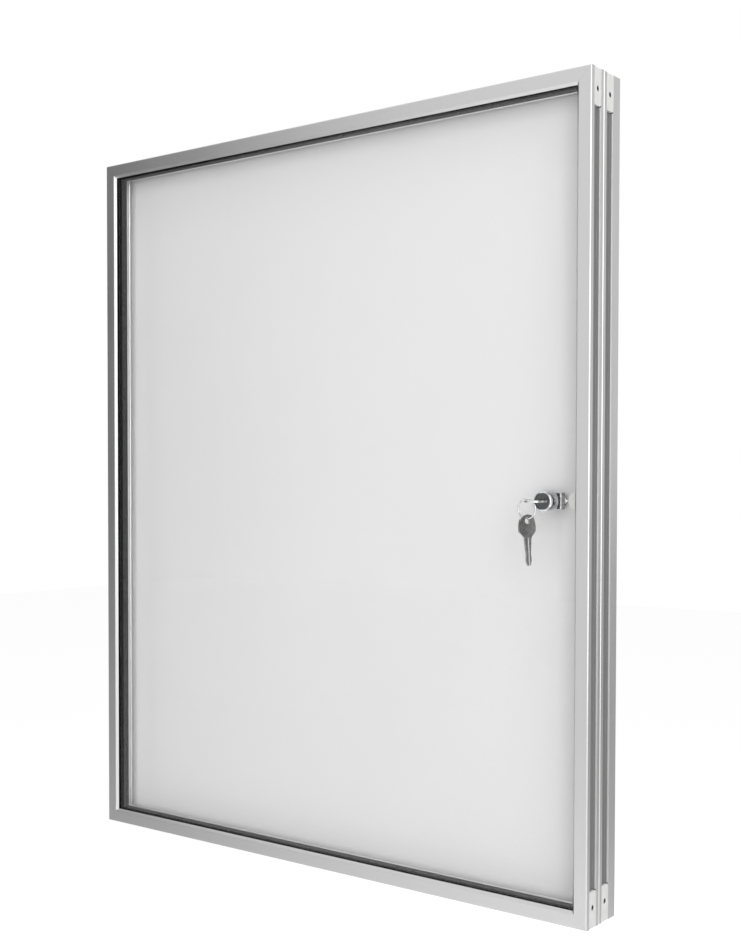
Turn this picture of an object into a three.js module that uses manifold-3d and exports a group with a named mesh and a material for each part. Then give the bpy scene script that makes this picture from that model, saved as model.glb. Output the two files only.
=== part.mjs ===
// Lockable wall notice board: a hinged, glazed door on a shallow case with a magnetic panel.
// Millimetres, +Z up. The wall is the plane y = 0, the front looks along -y, and the origin is
// the middle of the wall side.

import * as THREE from 'three';
import { mergeVertices } from 'three/addons/utils/BufferGeometryUtils.js';
import Module from 'manifold-3d';

const wasm = await Module();
wasm.setup();

// Overall size

const boardWidth = 550;
const boardHeight = 670;
const doorDepth = 20.5;
const caseDepth = 27;
const doorToCaseGap = 0.5;

// Clearances and overruns

const seatGap = 0.3;
const mitreGap = 0.2;
const cutOverrun = 1;
const weldTolerance = 0.0001;

// Frame sections, measured inward from the outer side face and back from the front face

const railWidth = 13.3;
const outerChamfer = 0.8;
const innerBevel = 2.1;
const bevelLand = 0.3;
const rearChamfer = 0.4;
const grooveWidth = 11;
const grooveDepth = 2.7;
const grooveLipWidth = 1.4;
const grooveLipDepth = 0.7;
const wallThickness = 1.5;

// Door section

const doorFrontLand = 5;
const glazingPocketWall = 7.2;
const glazingPocketBack = 17.3;
const doorWebChamberWidth = 1.7;

// Case section

const caseFrontLand = 4.6;
const caseLipThickness = 1.6;
const panelRecess = 9.5;
const panelBeadHeight = 2;
const panelBeadThickness = 1.5;
const ledgeThickness = 1.5;

// Glazing

const paneThickness = 3.8;
const gasketFrontLeg = 0.7;
const gasketWeb = 0.8;
const gasketOverhang = 0.7;

// Back of the case

const panelThickness = 1;
const backingThickness = 6;

// Corner connectors and their screws

const connectorLeg = 29.6;
const connectorEndRadius = 2.4;
const connectorCornerRadius = 1.2;
const screwFromCorner = 16.5;
const screwRadius = 1.95;
const screwLength = 4.2;
const screwSunk = 0.2;
const screwSocketRadius = 1.15;
const screwSocketDepth = 1.6;
const screwHoleClearance = 0.3;

// Hinges

const hingeFromEnd = 120;
const hingeLength = 60;
const hingeOut = 3;
const hingePlateThickness = 1.6;
const hingePlateMargin = 0.8;
const knuckleRadius = 2.5;
const knuckleGap = 0.4;
const knuckleSetBack = 3.2;
const pinRadius = 1.2;
const pinHoleClearance = 0.3;
const pinProud = 0.6;
const pinHeadRadius = 1.9;
const pinHeadThickness = 0.8;

// Lock, on an axis along y near the right-hand edge

const lockFromRightEdge = 38.1;
const flangeRadius = 9.6;
const flangeDepth = 9.2;
const flangeRim = 0.8;
const flangeMouthRadius = 6.8;
const flangeLipWidth = 0.4;
const flangeMouthDepth = 0.8;
const barrelRadius = 5.5;
const barrelFlatFromAxis = 5.1;
const barrelBehindNut = 4.5;
const plugRadius = 4.3;
const plugHeadThickness = 1;
const plugClearance = 0.3;
const keywayBehindKey = 1.5;
const sleeveRadius = 6.9;
const sleeveLength = 5.1;
const nutHalfWidth = 6.7;
const washerThickness = 2;
const nutThickness = 5;
const nutSplit = 1.6;
const plugTailHalfWidth = 2.4;
const camHubRadius = 6.4;
const camTipRadius = 5.2;
const camThickness = 2;
const camScrewHeadRadius = 3.6;
const camScrewHeadThickness = 1.4;
const camScrewRadius = 1.2;
const camScrewLength = 6;

// Keeper on the right-hand case stile

const keeperHeight = 14;
const keeperNoseFromAxis = 8;
const keeperThickness = 2.2;
const keeperRootHeight = 34;
const keeperRootWidth = 6.6;
const keeperPegRadius = 1.3;
const keeperPegFromMiddle = 12;

// Keys and their ring

const keyLength = 40;
const keyThickness = 1.6;
const bowLength = 18.2;
const bowWidth = 16.4;
const bowWidestAt = 12;
const shoulderLength = 2.4;
const bladeRootWidth = 6.2;
const bladeWaistWidth = 4.2;
const bladeNoseWidth = 5.2;
const bladeWaistAt = 31;
const bladeNoseAt = 36.2;
const bladeTipWidth = 2.4;
const keyHoleRadius = 2.4;
const keyHoleFromEnd = 4.8;
const keyGrooveWidth = 1.2;
const keyGrooveDepth = 0.4;
const keyHoleBeforeDoor = 21.2;
const ringRadius = 7.8;
const ringWireRadius = 0.6;
const ringDrop = 0.4;
const ringLean = THREE.MathUtils.degToRad(50);
const spareTurn = THREE.MathUtils.degToRad(70);
const spareSlack = 0.3;
const spareLean = THREE.MathUtils.degToRad(4);

// Wall hangers

const hangerFromSide = 60;
const hangerWidth = 44;
const hangerReach = 25;
const hangerThickness = 2;
const keyholeHeadRadius = 4.5;
const keyholeSlotRadius = 2.5;
const keyholeTravel = 9;
const keyholeMargin = 3;

// Shares that shape the bow and the dome

const bowTopShares = [0.3, 0.28];
const bowShoulderShares = [0.42, 0.5];
const domeShares = [0.9, 0.35];

// Facet counts

const arcSegments = 6;
const roundSegments = 20;
const finerRoundSegments = 36;
const ringSegments = 40;
const wireSegments = 8;
const hexSides = 6;

// Planes along y, and positions worked out from the sizes above

const halfWidth = boardWidth / 2;
const halfHeight = boardHeight / 2;
const boardDepth = doorDepth + doorToCaseGap + caseDepth;
const doorFrontY = -boardDepth;
const caseFrontY = doorFrontY + doorDepth + doorToCaseGap;
const doorGrooveY = doorFrontY + doorFrontLand + grooveWidth / 2;
const caseGrooveY = caseFrontY + caseFrontLand + grooveWidth / 2;
const gasketFrontY = doorFrontY + innerBevel + bevelLand + seatGap;
const paneFrontY = gasketFrontY + gasketFrontLeg + seatGap;
const paneBackY = paneFrontY + paneThickness;
const gasketBackY = doorFrontY + glazingPocketBack - seatGap;
const gasketOuter = glazingPocketWall + seatGap;
const gasketInner = railWidth + gasketOverhang;
const paneEdge = gasketOuter + gasketWeb + seatGap;
const caseInnerWall = grooveDepth + wallThickness;
const panelEdge = caseInnerWall + 2 * seatGap;
const panelFrontY = caseFrontY + panelRecess;
const panelBackY = panelFrontY + panelThickness;
const backingFrontY = panelBackY + seatGap;
const backingBackY = backingFrontY + backingThickness;
const ledgeFrontY = backingBackY + seatGap;
const lockX = halfWidth - lockFromRightEdge;
const lockZ = 0;
const flangeBackY = paneFrontY - seatGap;
const flangeFrontY = flangeBackY - flangeDepth;
const sleeveFrontY = paneBackY + seatGap;
const washerFrontY = sleeveFrontY + sleeveLength + seatGap;
const nutFrontY = washerFrontY + washerThickness + seatGap;
const barrelBackY = nutFrontY + nutThickness + barrelBehindNut;
const plugFrontY = flangeFrontY + flangeMouthDepth;
const plugHeadBackY = plugFrontY + plugHeadThickness;
const mouthFloorY = plugHeadBackY + plugClearance;
const plugBackY = barrelBackY - seatGap;
const keeperFrontY = caseFrontY + caseLipThickness + seatGap;
const keeperBackY = keeperFrontY + keeperThickness;
const camFrontY = Math.max(keeperBackY, barrelBackY) + seatGap;
const camBackY = camFrontY + camThickness;
const camLength = lockFromRightEdge - railWidth - seatGap;
const camScrewHeadY = camBackY + seatGap;
const keyHoleY = doorFrontY - keyHoleBeforeDoor;
const keyTipY = keyHoleY - keyHoleFromEnd + keyLength;
const keywayBackY = keyTipY + keywayBehindKey;
const keywayHalfWidth = bladeRootWidth / 2 + seatGap;
const keywayHalfHeight = keyThickness / 2 + seatGap;
const ringFromHole = ringRadius - ringDrop;
const ringX = lockX - ringFromHole * Math.cos(ringLean);
const ringZ = lockZ - ringFromHole * Math.sin(ringLean);
const hingeX = -halfWidth - hingeOut;
const hingeY = caseFrontY - doorToCaseGap / 2;
const hingeFromMiddle = halfHeight - hingeFromEnd;

// Materials

const aluminium = { color: 0xc9cacb, roughness: 0.42, metalness: 0.9 };
const connectorGrey = { color: 0xd9dad8, roughness: 0.55, metalness: 0 };
const screwSteel = { color: 0x6f7072, roughness: 0.4, metalness: 0.9 };
const blackRubber = { color: 0x26272a, roughness: 0.7, metalness: 0 };
const clearPane = { color: 0xf4f8f8, roughness: 0.05, metalness: 0, transparent: true, opacity: 0.2 };
const whiteEnamel = { color: 0xe6e7e7, roughness: 0.3, metalness: 0.1 };
const hardboard = { color: 0x8b6a48, roughness: 0.8, metalness: 0 };
const chrome = { color: 0xdfe1e3, roughness: 0.08, metalness: 1 };
const darkChrome = { color: 0x7d7f81, roughness: 0.25, metalness: 0.9 };
const zincSteel = { color: 0xa6a9aa, roughness: 0.35, metalness: 0.9 };
const whiteNylon = { color: 0xe6e7e3, roughness: 0.45, metalness: 0 };
const nickel = { color: 0x8c8d8e, roughness: 0.3, metalness: 0.95 };
const galvanised = { color: 0x9da2a5, roughness: 0.5, metalness: 0.85 };

// Joining and cutting closed meshes

function toSolid(geometry) {
  const bare = geometry.clone();
  bare.deleteAttribute('normal');
  bare.deleteAttribute('uv');
  const merged = mergeVertices(bare, weldTolerance);
  const vertProperties = new Float32Array(merged.attributes.position.array);
  const triVerts = new Uint32Array(merged.index.array);
  return new wasm.Manifold(new wasm.Mesh({ numProp: 3, vertProperties, triVerts }));
}

function toGeometry(solid) {
  const { numProp, vertProperties, triVerts } = solid.getMesh();
  const geometry = new THREE.BufferGeometry();
  geometry.setAttribute('position', new THREE.BufferAttribute(new Float32Array(vertProperties), numProp));
  geometry.setIndex(new THREE.BufferAttribute(new Uint32Array(triVerts), 1));
  geometry.computeVertexNormals();
  return geometry;
}

function cut(geometry, ...tools) {
  let solid = toSolid(geometry);
  for (const tool of tools) {
    solid = solid.subtract(toSolid(tool));
  }
  return toGeometry(solid);
}

function join(first, ...others) {
  let solid = toSolid(first);
  for (const other of others) {
    solid = solid.add(toSolid(other));
  }
  return toGeometry(solid);
}

function meet(first, second) {
  return toGeometry(toSolid(first).intersect(toSolid(second)));
}

// Simple closed forms

function block(fromX, toX, fromY, toY, fromZ, toZ) {
  const box = new THREE.BoxGeometry(toX - fromX, toY - fromY, toZ - fromZ);
  return box.translate((fromX + toX) / 2, (fromY + toY) / 2, (fromZ + toZ) / 2);
}

function rodAlongX(radius, fromX, toX, y, z, sides = roundSegments) {
  const rod = new THREE.CylinderGeometry(radius, radius, toX - fromX, sides);
  return rod.rotateZ(Math.PI / 2).translate((fromX + toX) / 2, y, z);
}

function rodAlongY(radius, x, fromY, toY, z, sides = roundSegments) {
  const rod = new THREE.CylinderGeometry(radius, radius, toY - fromY, sides);
  return rod.translate(x, (fromY + toY) / 2, z);
}

function rodAlongZ(radius, x, y, fromZ, toZ, sides = roundSegments) {
  const rod = new THREE.CylinderGeometry(radius, radius, toZ - fromZ, sides);
  return rod.rotateX(Math.PI / 2).translate(x, y, (fromZ + toZ) / 2);
}

function plateAlongY(shape, fromY, toY) {
  const plate = new THREE.ExtrudeGeometry(shape, {
    depth: toY - fromY, bevelEnabled: false, curveSegments: arcSegments,
  });
  return plate.rotateX(Math.PI / 2).translate(0, toY, 0);
}

function polygon(points) {
  return new THREE.Shape(points.map(([x, y]) => new THREE.Vector2(x, y)));
}

// A lathed piece on the lock's axis, its profile given as [radius, y] pairs

function turnedOnLockAxis(points, sides = finerRoundSegments) {
  const profile = points.map(([radius, y]) => new THREE.Vector2(radius, y));
  const turned = new THREE.LatheGeometry(profile, sides);
  return turned.translate(lockX, 0, lockZ);
}

// The assembly

const board = new THREE.Group();

function addPiece(name, geometry, finish, parent = board) {
  const piece = new THREE.Mesh(geometry, new THREE.MeshStandardMaterial(finish));
  piece.name = name;
  parent.add(piece);
  return piece;
}

// The four sides of each frame. Every side is drawn as the left one and turned about y.

const frameSides = [
  { name: 'left_stile', edge: 'left', turn: 0, across: halfWidth, along: halfHeight },
  { name: 'top_rail', edge: 'top', turn: Math.PI / 2, across: halfHeight, along: halfWidth },
  { name: 'right_stile', edge: 'right', turn: Math.PI, across: halfWidth, along: halfHeight },
  { name: 'bottom_rail', edge: 'bottom', turn: -Math.PI / 2, across: halfHeight, along: halfWidth },
];

const frameCorners = [
  { name: 'top_left', turn: 0, signX: -1, signZ: 1 },
  { name: 'top_right', turn: Math.PI / 2, signX: 1, signZ: 1 },
  { name: 'bottom_right', turn: Math.PI, signX: 1, signZ: -1 },
  { name: 'bottom_left', turn: -Math.PI / 2, signX: -1, signZ: -1 },
];

// A bar of a constant section with both ends mitred. The section's first coordinate is the
// distance inward from the outer side face and its second is the distance behind frontY.

function mitredBar(section, side, frontY, endGap = mitreGap) {
  const bar = new THREE.ExtrudeGeometry(section, { depth: 1, bevelEnabled: false });
  const position = bar.attributes.position;
  for (let i = 0; i < position.count; i += 1) {
    const inward = position.getX(i);
    const reach = side.along - inward - endGap;
    const end = position.getZ(i) > 1 / 2 ? 1 : -1;
    position.setXYZ(i, inward - side.across, frontY + position.getY(i), end * reach);
  }
  return bar;
}

// The groove along a bar's outer side: a deep middle with a shallow lip on either side of it

function grooveOutline(start, end) {
  const floorStart = start + grooveLipWidth;
  const floorEnd = end - grooveLipWidth;
  return [
    [0, end],
    [grooveLipDepth, end],
    [grooveLipDepth, floorEnd],
    [grooveDepth, floorEnd],
    [grooveDepth, floorStart],
    [grooveLipDepth, floorStart],
    [grooveLipDepth, start],
    [0, start],
  ];
}

function doorSection() {
  const grooveStart = doorFrontLand;
  const grooveEnd = grooveStart + grooveWidth;
  const bevelStart = railWidth - innerBevel;
  const pocketFront = innerBevel + bevelLand;
  const shape = polygon([
    [0, outerChamfer],
    [outerChamfer, 0],
    [bevelStart, 0],
    [railWidth, innerBevel],
    [railWidth, pocketFront],
    [glazingPocketWall, pocketFront],
    [glazingPocketWall, glazingPocketBack],
    [railWidth, glazingPocketBack],
    [railWidth, doorDepth - rearChamfer],
    [railWidth - rearChamfer, doorDepth],
    [rearChamfer, doorDepth],
    [0, doorDepth - rearChamfer],
    ...grooveOutline(grooveStart, grooveEnd),
  ]);
  const webStart = (grooveDepth + glazingPocketWall - doorWebChamberWidth) / 2;
  const webEnd = webStart + doorWebChamberWidth;
  const webFront = innerBevel + wallThickness;
  const webBack = glazingPocketBack - wallThickness;
  const webChamber = polygon([
    [webStart, webFront],
    [webStart, webBack],
    [webEnd, webBack],
    [webEnd, webFront],
  ]);
  shape.holes.push(webChamber);
  return shape;
}

function caseSection() {
  const grooveStart = caseFrontLand;
  const grooveEnd = grooveStart + grooveWidth;
  const beadBack = panelRecess - seatGap;
  const beadFront = beadBack - panelBeadThickness;
  const ledgeFront = ledgeFrontY - caseFrontY;
  const shape = polygon([
    [0, outerChamfer],
    [outerChamfer, 0],
    [railWidth - rearChamfer, 0],
    [railWidth, rearChamfer],
    [railWidth, caseLipThickness],
    [caseInnerWall, caseLipThickness],
    [caseInnerWall, beadFront],
    [caseInnerWall + panelBeadHeight, beadFront],
    [caseInnerWall + panelBeadHeight, beadBack],
    [caseInnerWall, beadBack],
    [caseInnerWall, ledgeFront],
    [railWidth, ledgeFront],
    [railWidth, caseDepth],
    [0, caseDepth],
    ...grooveOutline(grooveStart, grooveEnd),
  ]);
  const chamberFront = ledgeFront + ledgeThickness;
  const chamberBack = caseDepth - wallThickness;
  const chamber = polygon([
    [wallThickness, chamberFront],
    [wallThickness, chamberBack],
    [railWidth - wallThickness, chamberBack],
    [railWidth - wallThickness, chamberFront],
  ]);
  shape.holes.push(chamber);
  return shape;
}

// Screw holes through the groove's floor, one near each end of a bar

function screwHoles(side, grooveY) {
  const radius = screwRadius + screwHoleClearance;
  const fromX = -side.across - cutOverrun;
  const toX = -side.across + screwLength + screwSunk + seatGap;
  return [-1, 1].map((end) => rodAlongX(radius, fromX, toX, grooveY, end * (side.along - screwFromCorner)));
}

// Seats at both ends of a bar, where the lips are milled away for the corner connectors

function connectorSeats(side, grooveY) {
  const fromX = -side.across - cutOverrun;
  const toX = -side.across + grooveDepth;
  const fromY = grooveY - grooveWidth / 2;
  const toY = grooveY + grooveWidth / 2;
  const seatZ = side.along - connectorLeg - seatGap;
  const endZ = side.along + cutOverrun;
  return [
    block(fromX, toX, fromY, toY, seatZ, endZ),
    block(fromX, toX, fromY, toY, -endZ, -seatZ),
  ];
}

function addFrame(prefix, section, frontY, grooveY, extraCuts = {}) {
  for (const side of frameSides) {
    const cuts = [
      ...screwHoles(side, grooveY), ...connectorSeats(side, grooveY), ...(extraCuts[side.name] ?? []),
    ];
    const bar = addPiece(`${prefix}_${side.name}`, cut(mitredBar(section, side, frontY), ...cuts), aluminium);
    bar.rotation.y = side.turn;
  }
}

// An L-shaped connector that fills the side groove round a corner. Its outer corner is at the
// local origin, with one leg along +x and the other along -z.

function connectorGeometry(grooveY) {
  const halfLeg = (grooveWidth - seatGap) / 2;
  const thickness = grooveDepth - seatGap;
  const straight = connectorLeg - connectorEndRadius;
  const outline = new THREE.Shape();
  outline.moveTo(connectorLeg, 0);
  outline.lineTo(connectorCornerRadius, 0);
  outline.absarc(
    connectorCornerRadius, -connectorCornerRadius, connectorCornerRadius, Math.PI / 2, Math.PI, false,
  );
  outline.lineTo(0, -connectorLeg);
  outline.lineTo(thickness, -connectorLeg);
  outline.lineTo(thickness, -thickness);
  outline.lineTo(connectorLeg, -thickness);
  const angle = plateAlongY(outline, grooveY - halfLeg, grooveY + halfLeg);
  const leg = new THREE.Shape();
  leg.moveTo(-cutOverrun, -halfLeg);
  leg.lineTo(straight, -halfLeg);
  leg.absarc(straight, connectorEndRadius - halfLeg, connectorEndRadius, -Math.PI / 2, 0, false);
  leg.absarc(straight, halfLeg - connectorEndRadius, connectorEndRadius, 0, Math.PI / 2, false);
  leg.lineTo(-cutOverrun, halfLeg);
  const slab = new THREE.ExtrudeGeometry(leg, {
    depth: thickness + cutOverrun, bevelEnabled: false, curveSegments: arcSegments,
  });
  const topSlab = slab.clone().translate(0, grooveY, -thickness);
  const sideSlab = slab.clone().translate(0, grooveY, -cutOverrun).rotateY(Math.PI / 2);
  const holeRadius = screwRadius + screwHoleClearance;
  const holeReach = thickness + cutOverrun;
  return cut(
    meet(angle, join(topSlab, sideSlab)),
    rodAlongZ(holeRadius, screwFromCorner, grooveY, -holeReach, cutOverrun),
    rodAlongX(holeRadius, -cutOverrun, holeReach, grooveY, -screwFromCorner),
  );
}

// A socket-head screw along z, its head at the local origin and facing +z

function connectorScrewGeometry() {
  const headZ = -screwSunk;
  const body = rodAlongZ(screwRadius, 0, 0, headZ - screwLength, headZ);
  const socket = rodAlongZ(screwSocketRadius, 0, 0, headZ - screwSocketDepth, cutOverrun, hexSides);
  return cut(body, socket);
}

function addCorners(prefix, grooveY) {
  for (const corner of frameCorners) {
    const group = new THREE.Group();
    group.position.set(corner.signX * halfWidth, 0, corner.signZ * halfHeight);
    group.rotation.y = corner.turn;
    board.add(group);
    addPiece(`${prefix}_corner_${corner.name}`, connectorGeometry(grooveY), connectorGrey, group);
    const first = addPiece(`${prefix}_screw_${corner.name}_a`, connectorScrewGeometry(), screwSteel, group);
    first.position.set(screwFromCorner, grooveY, 0);
    const second = addPiece(`${prefix}_screw_${corner.name}_b`, connectorScrewGeometry(), screwSteel, group);
    second.position.set(0, grooveY, -screwFromCorner);
    second.rotation.y = -Math.PI / 2;
  }
}

// Door frame, glazing gaskets and pane

addFrame('door', doorSection(), doorFrontY, doorGrooveY);
addCorners('door', doorGrooveY);

function gasketSection() {
  const frontLegStart = gasketFrontY - doorFrontY;
  const frontLegEnd = frontLegStart + gasketFrontLeg;
  const backLegStart = paneBackY + seatGap - doorFrontY;
  const backLegEnd = gasketBackY - doorFrontY;
  const webInner = gasketOuter + gasketWeb;
  return polygon([
    [gasketOuter, frontLegStart],
    [gasketInner, frontLegStart],
    [gasketInner, frontLegEnd],
    [webInner, frontLegEnd],
    [webInner, backLegStart],
    [gasketInner, backLegStart],
    [gasketInner, backLegEnd],
    [gasketOuter, backLegEnd],
  ]);
}

for (const side of frameSides) {
  const strip = addPiece(`gasket_${side.edge}`, mitredBar(gasketSection(), side, doorFrontY), blackRubber);
  strip.rotation.y = side.turn;
}

// A round hole with two flats, for the lock's barrel

function barrelHole() {
  const radius = barrelRadius + seatGap;
  const flatAngle = Math.acos((barrelFlatFromAxis + seatGap) / radius);
  const hole = new THREE.Path();
  hole.absarc(lockX, lockZ, radius, flatAngle, Math.PI - flatAngle, false);
  hole.absarc(lockX, lockZ, radius, Math.PI + flatAngle, 2 * Math.PI - flatAngle, false);
  hole.closePath();
  return hole;
}

function paneGeometry() {
  const reachX = halfWidth - paneEdge;
  const reachZ = halfHeight - paneEdge;
  const outline = polygon([[-reachX, -reachZ], [reachX, -reachZ], [reachX, reachZ], [-reachX, reachZ]]);
  outline.holes.push(barrelHole());
  return plateAlongY(outline, paneFrontY, paneBackY);
}

addPiece('pane', paneGeometry(), clearPane);

// Case frame, panel and backing board

const keeperPegX = halfWidth - railWidth + keeperRootWidth / 2;

// The right stile is drawn as the left one and turned, so its holes are given mirrored

function keeperPegHoles() {
  const radius = keeperPegRadius + seatGap;
  const backY = caseFrontY + caseLipThickness + cutOverrun;
  return [-1, 1].map((end) => rodAlongY(
    radius, -keeperPegX, caseFrontY - cutOverrun, backY, -(lockZ + end * keeperPegFromMiddle),
  ));
}

addFrame('case', caseSection(), caseFrontY, caseGrooveY, { right_stile: keeperPegHoles() });
addCorners('case', caseGrooveY);

const panelReachX = halfWidth - panelEdge;
const panelReachZ = halfHeight - panelEdge;

addPiece(
  'magnetic_panel',
  block(-panelReachX, panelReachX, panelFrontY, panelBackY, -panelReachZ, panelReachZ),
  whiteEnamel,
);
addPiece(
  'backing_board',
  block(-panelReachX, panelReachX, backingFrontY, backingBackY, -panelReachZ, panelReachZ),
  hardboard,
);

// Keyhole hangers behind the top rail

function hangerGeometry(centreX) {
  const fromX = centreX - hangerWidth / 2;
  const toX = centreX + hangerWidth / 2;
  const topZ = halfHeight - railWidth - seatGap;
  const backY = -seatGap;
  const frontY = backY - hangerThickness;
  const plate = block(fromX, toX, frontY, backY, topZ - hangerReach, topZ);
  const flange = block(fromX, toX, backingBackY + seatGap, backY, topZ - hangerThickness, topZ);
  const headZ = topZ - hangerReach + keyholeMargin + keyholeHeadRadius;
  const slotZ = headZ + keyholeTravel;
  const cutFront = frontY - cutOverrun;
  return cut(
    join(plate, flange),
    rodAlongY(keyholeHeadRadius, centreX, cutFront, cutOverrun, headZ),
    rodAlongY(keyholeSlotRadius, centreX, cutFront, cutOverrun, slotZ),
    block(centreX - keyholeSlotRadius, centreX + keyholeSlotRadius, cutFront, cutOverrun, headZ, slotZ),
  );
}

const hangerX = halfWidth - hangerFromSide;
addPiece('hanger_left', hangerGeometry(-hangerX), galvanised);
addPiece('hanger_right', hangerGeometry(hangerX), galvanised);

// Hinges on the left-hand side: a leaf keyed into each frame's groove, and a pin

const hingePlateOuterX = -halfWidth - seatGap - hingePlateThickness;
const hingePlateInnerX = -halfWidth - seatGap;

function hingeLeaf(middleZ, grooveY, facing, knuckles) {
  const bottomZ = middleZ - hingeLength / 2;
  const topZ = middleZ + hingeLength / 2;
  const nearY = hingeY + facing * knuckleSetBack;
  const farY = grooveY + facing * (grooveWidth / 2 + hingePlateMargin);
  const plate = block(
    hingePlateOuterX, hingePlateInnerX, Math.min(nearY, farY), Math.max(nearY, farY), bottomZ, topZ,
  );
  const ribHalf = (grooveWidth - seatGap) / 2 - grooveLipWidth;
  const ribX = -halfWidth + grooveDepth - seatGap;
  const ribStartX = hingePlateInnerX - hingePlateThickness / 2;
  let leaf = join(plate, block(ribStartX, ribX, grooveY - ribHalf, grooveY + ribHalf, bottomZ, topZ));
  for (const [fromZ, toZ] of knuckles) {
    const tabFarY = hingeY + facing * (knuckleSetBack + hingePlateThickness / 2);
    leaf = join(
      leaf,
      block(
        hingePlateOuterX, hingePlateInnerX,
        Math.min(hingeY, tabFarY), Math.max(hingeY, tabFarY), middleZ + fromZ, middleZ + toZ,
      ),
      rodAlongZ(knuckleRadius, hingeX, hingeY, middleZ + fromZ, middleZ + toZ),
    );
  }
  const holeRadius = pinRadius + pinHoleClearance;
  return cut(leaf, rodAlongZ(holeRadius, hingeX, hingeY, bottomZ - cutOverrun, topZ + cutOverrun));
}

function pinGeometry(middleZ) {
  const reach = hingeLength / 2 + pinProud;
  const stem = rodAlongZ(pinRadius, hingeX, hingeY, middleZ - reach, middleZ + reach);
  const headZ = middleZ + hingeLength / 2 + seatGap;
  return join(stem, rodAlongZ(pinHeadRadius, hingeX, hingeY, headZ, headZ + pinHeadThickness));
}

const middleKnuckle = hingeLength / 6;
const outerKnuckle = middleKnuckle + knuckleGap;
const hingePlaces = [['upper', hingeFromMiddle], ['lower', -hingeFromMiddle]];

for (const [name, middleZ] of hingePlaces) {
  const doorKnuckles = [[-hingeLength / 2, -outerKnuckle], [outerKnuckle, hingeLength / 2]];
  const caseKnuckles = [[-middleKnuckle, middleKnuckle]];
  addPiece(`hinge_door_leaf_${name}`, hingeLeaf(middleZ, doorGrooveY, -1, doorKnuckles), zincSteel);
  addPiece(`hinge_case_leaf_${name}`, hingeLeaf(middleZ, caseGrooveY, 1, caseKnuckles), zincSteel);
  addPiece(`hinge_pin_${name}`, pinGeometry(middleZ), zincSteel);
}

// Lock: housing through the pane, sleeve, washer and split nut behind it

function domeEdge() {
  const innerRadius = flangeMouthRadius + flangeLipWidth;
  const rimY = flangeBackY - flangeRim;
  const width = flangeRadius - innerRadius;
  const height = rimY - flangeFrontY;
  const [outward, back] = domeShares;
  const curve = new THREE.CubicBezierCurve(
    new THREE.Vector2(innerRadius, flangeFrontY),
    new THREE.Vector2(innerRadius + width * outward, flangeFrontY),
    new THREE.Vector2(flangeRadius, flangeFrontY + height * back),
    new THREE.Vector2(flangeRadius, rimY),
  );
  return curve.getPoints(arcSegments).map((point) => [point.x, point.y]);
}

function housingGeometry() {
  const boreRadius = plugRadius + plugClearance;
  const turned = turnedOnLockAxis([
    [boreRadius, mouthFloorY],
    [flangeMouthRadius, mouthFloorY],
    [flangeMouthRadius, flangeFrontY],
    ...domeEdge(),
    [flangeRadius, flangeBackY],
    [barrelRadius, flangeBackY],
    [barrelRadius, barrelBackY],
    [boreRadius, barrelBackY],
    [boreRadius, mouthFloorY],
  ]);
  const flats = [-1, 1].map((side) => {
    const near = lockX + side * barrelFlatFromAxis;
    const far = lockX + side * (barrelRadius + cutOverrun);
    const reach = barrelRadius + cutOverrun;
    return block(
      Math.min(near, far), Math.max(near, far), flangeBackY, barrelBackY + cutOverrun,
      lockZ - reach, lockZ + reach,
    );
  });
  return cut(turned, ...flats);
}

const threadHoleRadius = barrelRadius + seatGap;

function ringOnBarrel(outerRadius, frontY, length) {
  const backY = frontY + length;
  return turnedOnLockAxis([
    [threadHoleRadius, frontY],
    [outerRadius, frontY],
    [outerRadius, backY],
    [threadHoleRadius, backY],
    [threadHoleRadius, frontY],
  ]);
}

function squareOnBarrel(frontY, thickness) {
  const backY = frontY + thickness;
  const plate = block(
    lockX - nutHalfWidth, lockX + nutHalfWidth, frontY, backY,
    lockZ - nutHalfWidth, lockZ + nutHalfWidth,
  );
  return cut(
    plate,
    rodAlongY(threadHoleRadius, lockX, frontY - cutOverrun, backY + cutOverrun, lockZ, finerRoundSegments),
  );
}

function nutGeometry() {
  const split = block(
    lockX, lockX + nutHalfWidth + cutOverrun,
    nutFrontY - cutOverrun, nutFrontY + nutThickness + cutOverrun,
    lockZ - nutSplit / 2, lockZ + nutSplit / 2,
  );
  return cut(squareOnBarrel(nutFrontY, nutThickness), split);
}

addPiece('lock_housing', housingGeometry(), chrome);
addPiece('lock_sleeve', ringOnBarrel(sleeveRadius, sleeveFrontY, sleeveLength), blackRubber);
addPiece('lock_washer', squareOnBarrel(washerFrontY, washerThickness), zincSteel);
addPiece('lock_nut', nutGeometry(), darkChrome);

// Lock: the plug that the key turns, its cam and the cam's screw

function plugGeometry() {
  const headRadius = flangeMouthRadius - plugClearance;
  const body = turnedOnLockAxis([
    [0, plugFrontY],
    [headRadius, plugFrontY],
    [headRadius, plugHeadBackY],
    [plugRadius, plugHeadBackY],
    [plugRadius, plugBackY],
    [0, plugBackY],
  ]);
  const tail = block(
    lockX - plugTailHalfWidth, lockX + plugTailHalfWidth, plugBackY - plugTailHalfWidth, camBackY,
    lockZ - plugTailHalfWidth, lockZ + plugTailHalfWidth,
  );
  const keyway = block(
    lockX - keywayHalfWidth, lockX + keywayHalfWidth, plugFrontY - cutOverrun, keywayBackY,
    lockZ - keywayHalfHeight, lockZ + keywayHalfHeight,
  );
  const screwHole = rodAlongY(
    camScrewRadius + seatGap, lockX, camScrewHeadY - camScrewLength - seatGap, camBackY + cutOverrun, lockZ,
  );
  return cut(join(body, tail), keyway, screwHole);
}

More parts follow.
